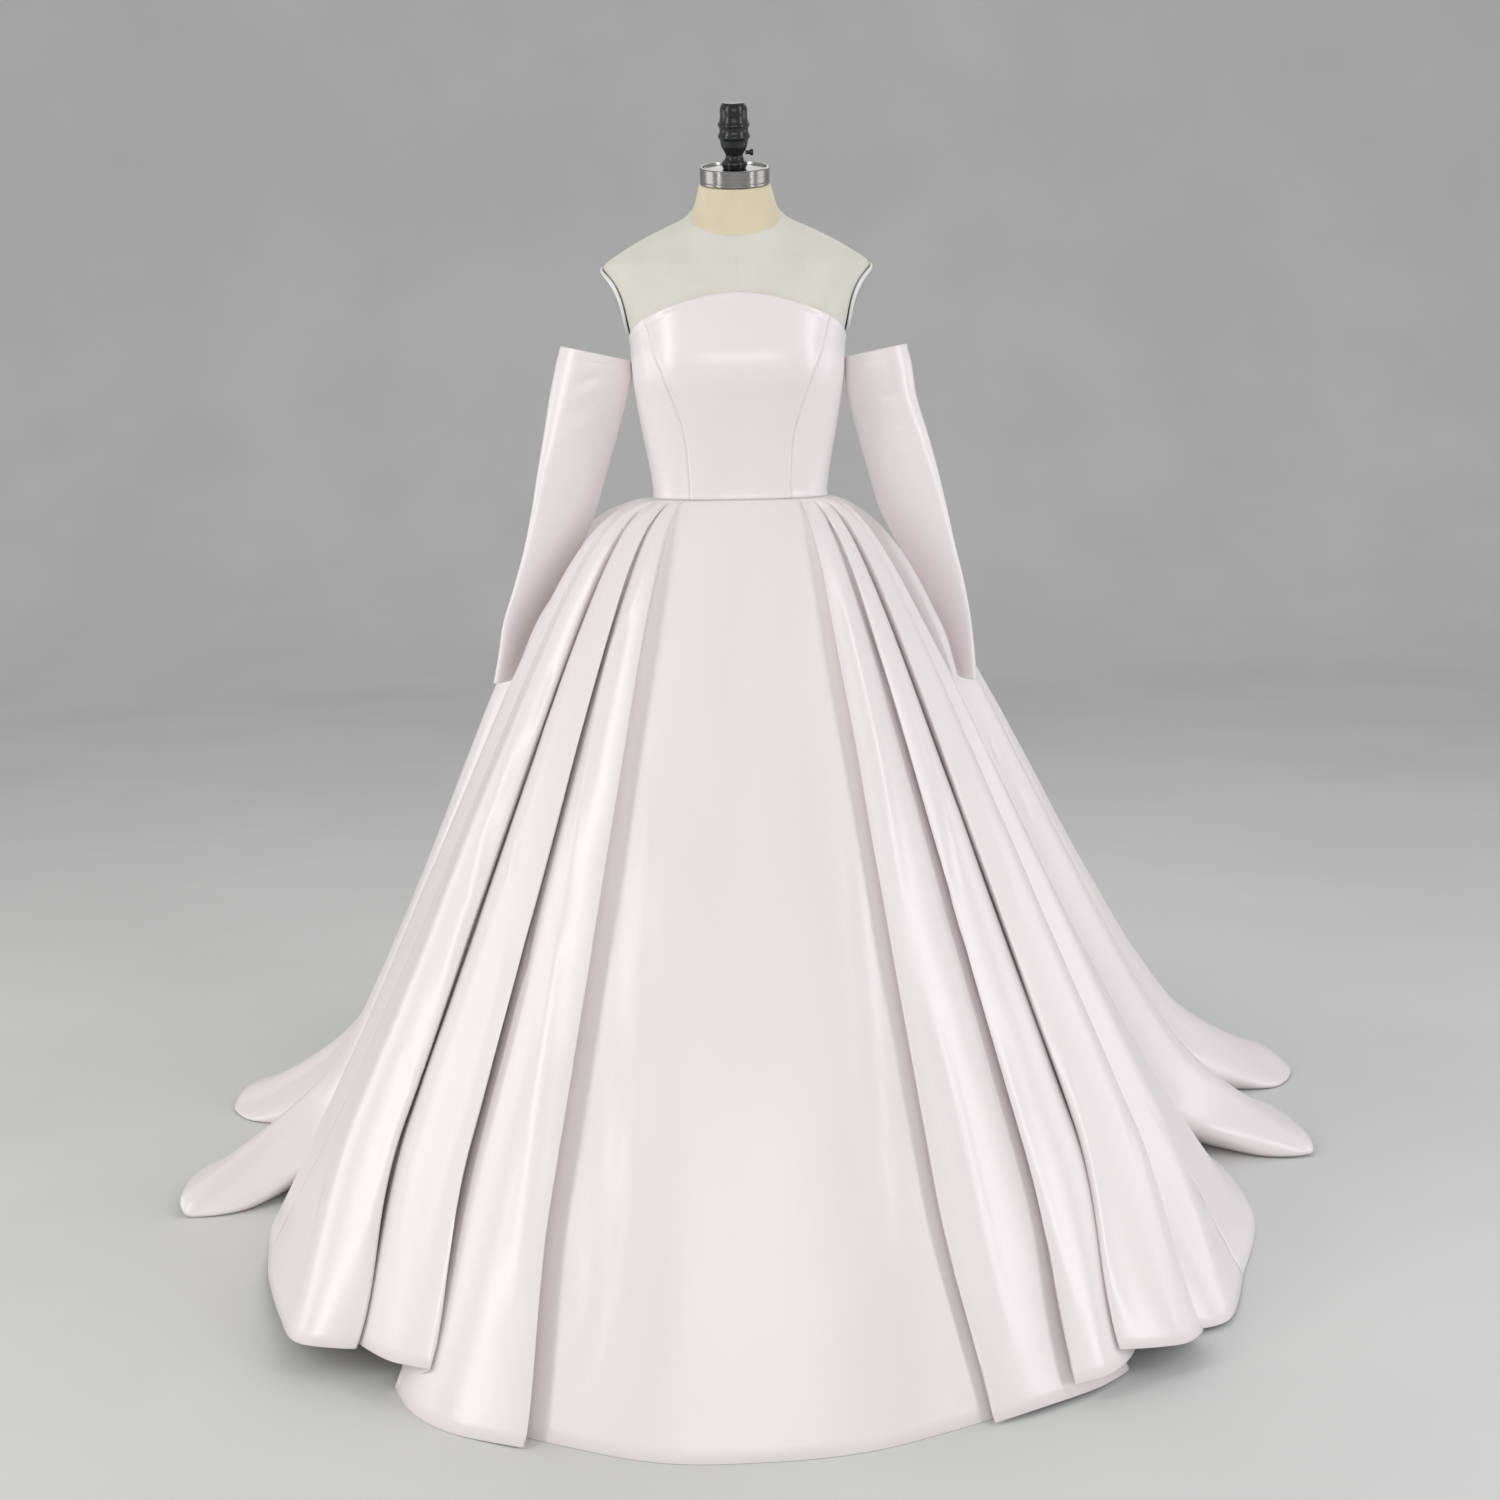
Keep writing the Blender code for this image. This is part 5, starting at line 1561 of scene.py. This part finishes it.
    def build(self) -> list[bpy.types.Object]:
        """Build the seven panels.

        Returns:
            The panels.
        """
        grid = self.surface()
        normal = grid_normals(grid, True)
        shares = self.shares()[:, None]
        calm = np.clip(shares / 0.1, 0, 1) * np.clip((1 - shares) / 0.03, 0, 1)
        lift = press(grid, normal, self.press_lines())
        lift += calm * (0.9 * MILLIMETRE * swell(grid, 0.30, 4.0) + 0.35 * MILLIMETRE * swell(grid, 0.11, 5.0))
        lift -= 0.9 * MILLIMETRE * np.exp(-(((1 - self.fall_from_waist(grid)) / 0.002) ** 2))
        grid = grid + normal * lift[..., None]
        grid[..., 2] = np.maximum(grid[..., 2], HEM_Z)
        grid[0, :, 2] = WAIST_Z - GAP
        normal = grid_normals(grid, True)
        grid = np.concatenate([grid, grid[:, :1]], axis=1)
        normal = np.concatenate([normal, normal[:, :1]], axis=1)
        for panel in SKIRT_PIECES:
            start = self.starts[self.names.index((panel.start_side, panel.start))]
            end = self.starts[self.names.index((panel.end_side, panel.end))]
            part = slice(start, end + 1)
            piece = cloth_wall(
                panel.name + "_satin", grid[:, part], self.thickness, self.satin, normal[:, part], floor=GAP
            )
            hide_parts(panel.name)
            self.pieces.append(piece)
        return self.pieces

    def fall_from_waist(self, grid: np.ndarray) -> np.ndarray:
        """Give how far each point has fallen below the waist seam, as one less its depth in metres."""
        return 1 - (WAIST_Z - grid[..., 2])


@dataclass
class Sleeve:
    """One long satin sleeve that hangs open at both ends from the bodice's side."""

    side: Side
    satin: bpy.types.Material
    thickness: float = 0.0010
    columns: int = 84
    steps: int = 12
    hem_depth: float = 12 * MILLIMETRE
    pieces: list[bpy.types.Object] = field(default_factory=list)

    def grid(self) -> np.ndarray:
        """Sweep the sleeve's oval sections into one tube, with its seam's column named twice.

        Returns:
            Points, rows by columns by 3.
        """
        table = LEFT_SLEEVE if self.side is Side.LEFT else RIGHT_SLEEVE
        keys = np.arange(len(table))
        at = np.linspace(0, len(table) - 1, (len(table) - 1) * self.steps + 1)
        z, x, y, wide, deep, turn, slope = (
            smooth_at(keys, [getattr(row, name) for row in table], at)[:, None]
            for name in ("z", "x", "y", "half_width", "half_depth", "turn", "slope")
        )
        angle = np.linspace(0, 2 * math.pi, self.columns + 1)[None] + math.pi / 2
        lean = np.radians(turn) * self.side.value
        across, along = wide * np.cos(angle), deep * np.sin(angle)
        dx = across * np.cos(lean) + along * np.sin(lean)
        dy = -across * np.sin(lean) + along * np.cos(lean)
        return np.stack([x + dx, y + dy, z + slope * dx], -1)[:, ::-1]

    def build(self) -> list[bpy.types.Object]:
        """Build the sleeve with its hems, its seam and the wrinkles of its cloth.

        Returns:
            The sleeve.
        """
        grid = self.grid()
        normal = grid_normals(grid, False)
        ring = np.concatenate([grid[:, -2:-1], grid[:, :2]], axis=1)
        down = np.gradient(grid, axis=0)
        joined = np.cross(down[:, 0], ring[:, 2] - ring[:, 0])
        joined /= np.linalg.norm(joined, axis=-1, keepdims=True)
        normal[:, 0] = normal[:, -1] = joined
        if ((normal[:, 10] * (grid[:, 10] - grid.mean(1))).sum(-1)).mean() < 0:
            grid, normal = grid[:, ::-1], -normal[:, ::-1]
        creases = LEFT_SLEEVE_CREASES if self.side is Side.LEFT else RIGHT_SLEEVE_CREASES
        rows = grid.shape[0]
        lines = [
            PressLine(
                tuple((across * self.columns, down * rows) for across, down in crease.path),
                crease.width_mm * MILLIMETRE,
                abs(crease.height_mm) * MILLIMETRE,
                Pull.RIDGE if crease.height_mm > 0 else Pull.TROUGH,
            )
            for crease in creases
        ]
        lift = press(grid, normal, lines)
        place = arc_lengths(grid)
        top, low = place[..., 1], place[-1:, :, 1] - place[..., 1]
        edge = np.minimum(top, low)
        lift += 0.5 * MILLIMETRE * swell(grid, 0.09, 7.0 + self.side.value) * np.clip(edge / 0.02, 0, 1)
        lift -= 0.35 * MILLIMETRE * np.exp(-(((edge - self.hem_depth) / (1.2 * MILLIMETRE)) ** 2))
        lift[:, -1] = lift[:, 0]
        outer = grid + normal * lift[..., None]
        name = f"sleeve_{self.side.word}"
        piece = cloth_wall(name + "_satin", outer, self.thickness, self.satin, normal)
        # The model cuts the tube in two at the elbow for its collision pieces; the cloth is one tube
        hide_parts(name + "_upper", name + "_lower")
        self.pieces = [piece]
        return self.pieces


@dataclass
class Studio:
    """Plain pale floor and backdrop, soft lamps and the camera."""

    paper: bpy.types.Material
    floor_depth: float = 8.0
    wall_at: float = 8.0
    wall_height: float = 7.0
    half_width: float = 10.0
    bend: float = 2.4
    focal_pixels: float = 2000.0
    image_pixels: float = 1500.0
    camera_at: tuple[float, float, float] = (0.007, -2.75, 1.2045)
    pitch_degrees: float = 10.04
    roll_degrees: float = 1.0

    def backdrop(self) -> bpy.types.Object:
        """Roll the paper out over the floor and up the wall in one sweep.

        Returns:
            The backdrop.
        """
        turn = np.linspace(0, math.pi / 2, 24)
        run = [(-self.floor_depth, 0.0), (-1.0, 0.0), (1.0, 0.0), (self.wall_at - self.bend, 0.0)]
        run += [
            (self.wall_at - self.bend + self.bend * math.sin(t), self.bend * (1 - math.cos(t))) for t in turn
        ]
        run += [(self.wall_at, self.wall_height)]
        across = np.linspace(-self.half_width, self.half_width, 9)
        grid = np.array([[(x, y, z) for x in across] for y, z in run])
        index = np.arange(grid.shape[0] * grid.shape[1]).reshape(grid.shape[:2])
        faces = np.stack([index[:-1, :-1], index[:-1, 1:], index[1:, 1:], index[1:, :-1]], -1).reshape(-1, 4)
        sweep = link_mesh("backdrop_sweep", grid.reshape(-1, 3), faces, arc_lengths(grid).reshape(-1, 2)[faces], self.paper)
        return sweep

    def lamp(
        self, name: str, place: tuple[float, float, float], aim: tuple[float, float, float],
        size: tuple[float, float], watts: float, shade: str,
    ) -> None:
        """Hang one soft box.

        Args:
            name: name of the lamp.
            place: where it hangs.
            aim: point that it faces.
            size: width and height of its face, in metres.
            watts: its power.
            shade: colour of its light, as a hex value.
        """
        light = bpy.data.lights.new(name, "AREA")
        light.shape, light.size, light.size_y = "RECTANGLE", size[0], size[1]
        light.energy = watts
        light.color = linear(shade)[:3]
        holder = bpy.data.objects.new(name, light)
        way = np.array(aim, float) - np.array(place, float)
        way /= np.linalg.norm(way)
        right = np.cross(way, (0, 0, 1.0))
        right = right / np.linalg.norm(right) if np.linalg.norm(right) > 1e-6 else np.array((1.0, 0, 0))
        up = np.cross(right, way)
        holder.matrix_world = Matrix(
            [[right[i], up[i], -way[i], place[i]] for i in range(3)] + [[0, 0, 0, 1]]
        )
        bpy.context.scene.collection.objects.link(holder)

    def light(self) -> None:
        """Set the soft daylight of the room and its lamps."""
        world = bpy.data.worlds.new("room_light")
        bpy.context.scene.world = world
        world.use_nodes = True
        ground = world.node_tree.nodes["Background"]
        ground.inputs["Color"].default_value = linear("#F3F2F4")
        ground.inputs["Strength"].default_value = 0.62
        self.lamp("front_box", (0.3, -4.6, 1.6), (0, 0, 0.75), (3.4, 2.0), 18.0, "#FFFDFC")
        self.lamp("level_strip", (0.1, -3.4, 1.70), (0, 0, 1.2), (2.4, 0.12), 7.0, "#FFFFFF")
        self.lamp("left_strip", (-2.4, -1.7, 1.9), (0, 0, 0.80), (0.4, 3.2), 27.0, "#FFFDFA")
        self.lamp("right_strip", (2.6, -1.5, 1.9), (0, 0, 0.80), (0.4, 3.2), 24.0, "#FBFCFF")
        self.lamp("left_low_box", (-3.4, 0.2, 1.0), (0, 0, 0.5), (1.8, 1.6), 14.0, "#FFFDFA")
        self.lamp("right_low_box", (3.4, 0.4, 1.0), (0, 0, 0.5), (1.8, 1.6), 11.0, "#FBFCFF")
        self.lamp("back_box", (0.5, 2.3, 3.2), (0, 0.2, 0.9), (2.6, 1.2), 12.0, "#FFFFFF")

    def camera(self) -> bpy.types.Object:
        """Set the camera at the photograph's place and angle.

        Returns:
            The camera.
        """
        data = bpy.data.cameras.new("camera")
        data.sensor_width = 36.0
        data.lens = self.focal_pixels / self.image_pixels * data.sensor_width
        data.clip_end = 50.0
        holder = bpy.data.objects.new("camera", data)
        pitch, roll = math.radians(self.pitch_degrees), math.radians(self.roll_degrees)
        forward = np.array([0.0, math.cos(pitch), -math.sin(pitch)])
        level_up, level_right = np.array([0.0, math.sin(pitch), math.cos(pitch)]), np.array([1.0, 0.0, 0.0])
        right = math.cos(roll) * level_right - math.sin(roll) * level_up
        up = math.sin(roll) * level_right + math.cos(roll) * level_up
        holder.matrix_world = Matrix(
            [[right[i], up[i], -forward[i], self.camera_at[i]] for i in range(3)] + [[0, 0, 0, 1]]
        )
        bpy.context.scene.collection.objects.link(holder)
        bpy.context.scene.camera = holder
        return holder

    def build(self) -> None:
        """Lay the paper, hang the lamps and set the camera."""
        self.backdrop()
        self.light()
        self.camera()
        bpy.context.scene.view_settings.view_transform = "Standard"


def main() -> None:
    """Build the studio, the form and the dress, and report each piece."""
    logging.basicConfig(level=logging.INFO, format="%(message)s")
    satin = DuchesseSatin().material()
    cover = WovenCottonCover().material()
    neck_cover = WovenCottonCover("cotton_neck_cover_plain_woven", "#DFD6BC", "#D8CDAD").material()
    plate = MouldedPlastic("abs_grey_moulded", "#A9A9A7", "#B4B4B2", 0.42).material()
    rim = MouldedPlastic("abs_white_moulded", "#E9ECEC", "#DDE1E1", 0.40).material()
    steel = BrushedSteel("stainless_steel_brushed").material()
    black = MouldedPlastic("abs_black_moulded", "#0A0D11", "#12171C", 0.22).material()
    Studio(StudioPaper().material()).build()
    parts = [
        DressForm(cover, neck_cover, plate, rim),
        StandAndFittings(steel, black),
        Bodice(satin),
        Skirt(satin),
        Sleeve(Side.LEFT, satin),
        Sleeve(Side.RIGHT, satin),
    ]
    for part in parts:
        for piece in part.build():
            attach(piece, "root")
            LOG.info("%s: %s, %d faces", type(part).__name__, piece.name, len(piece.data.polygons))


if __name__ == "__main__":
    main()
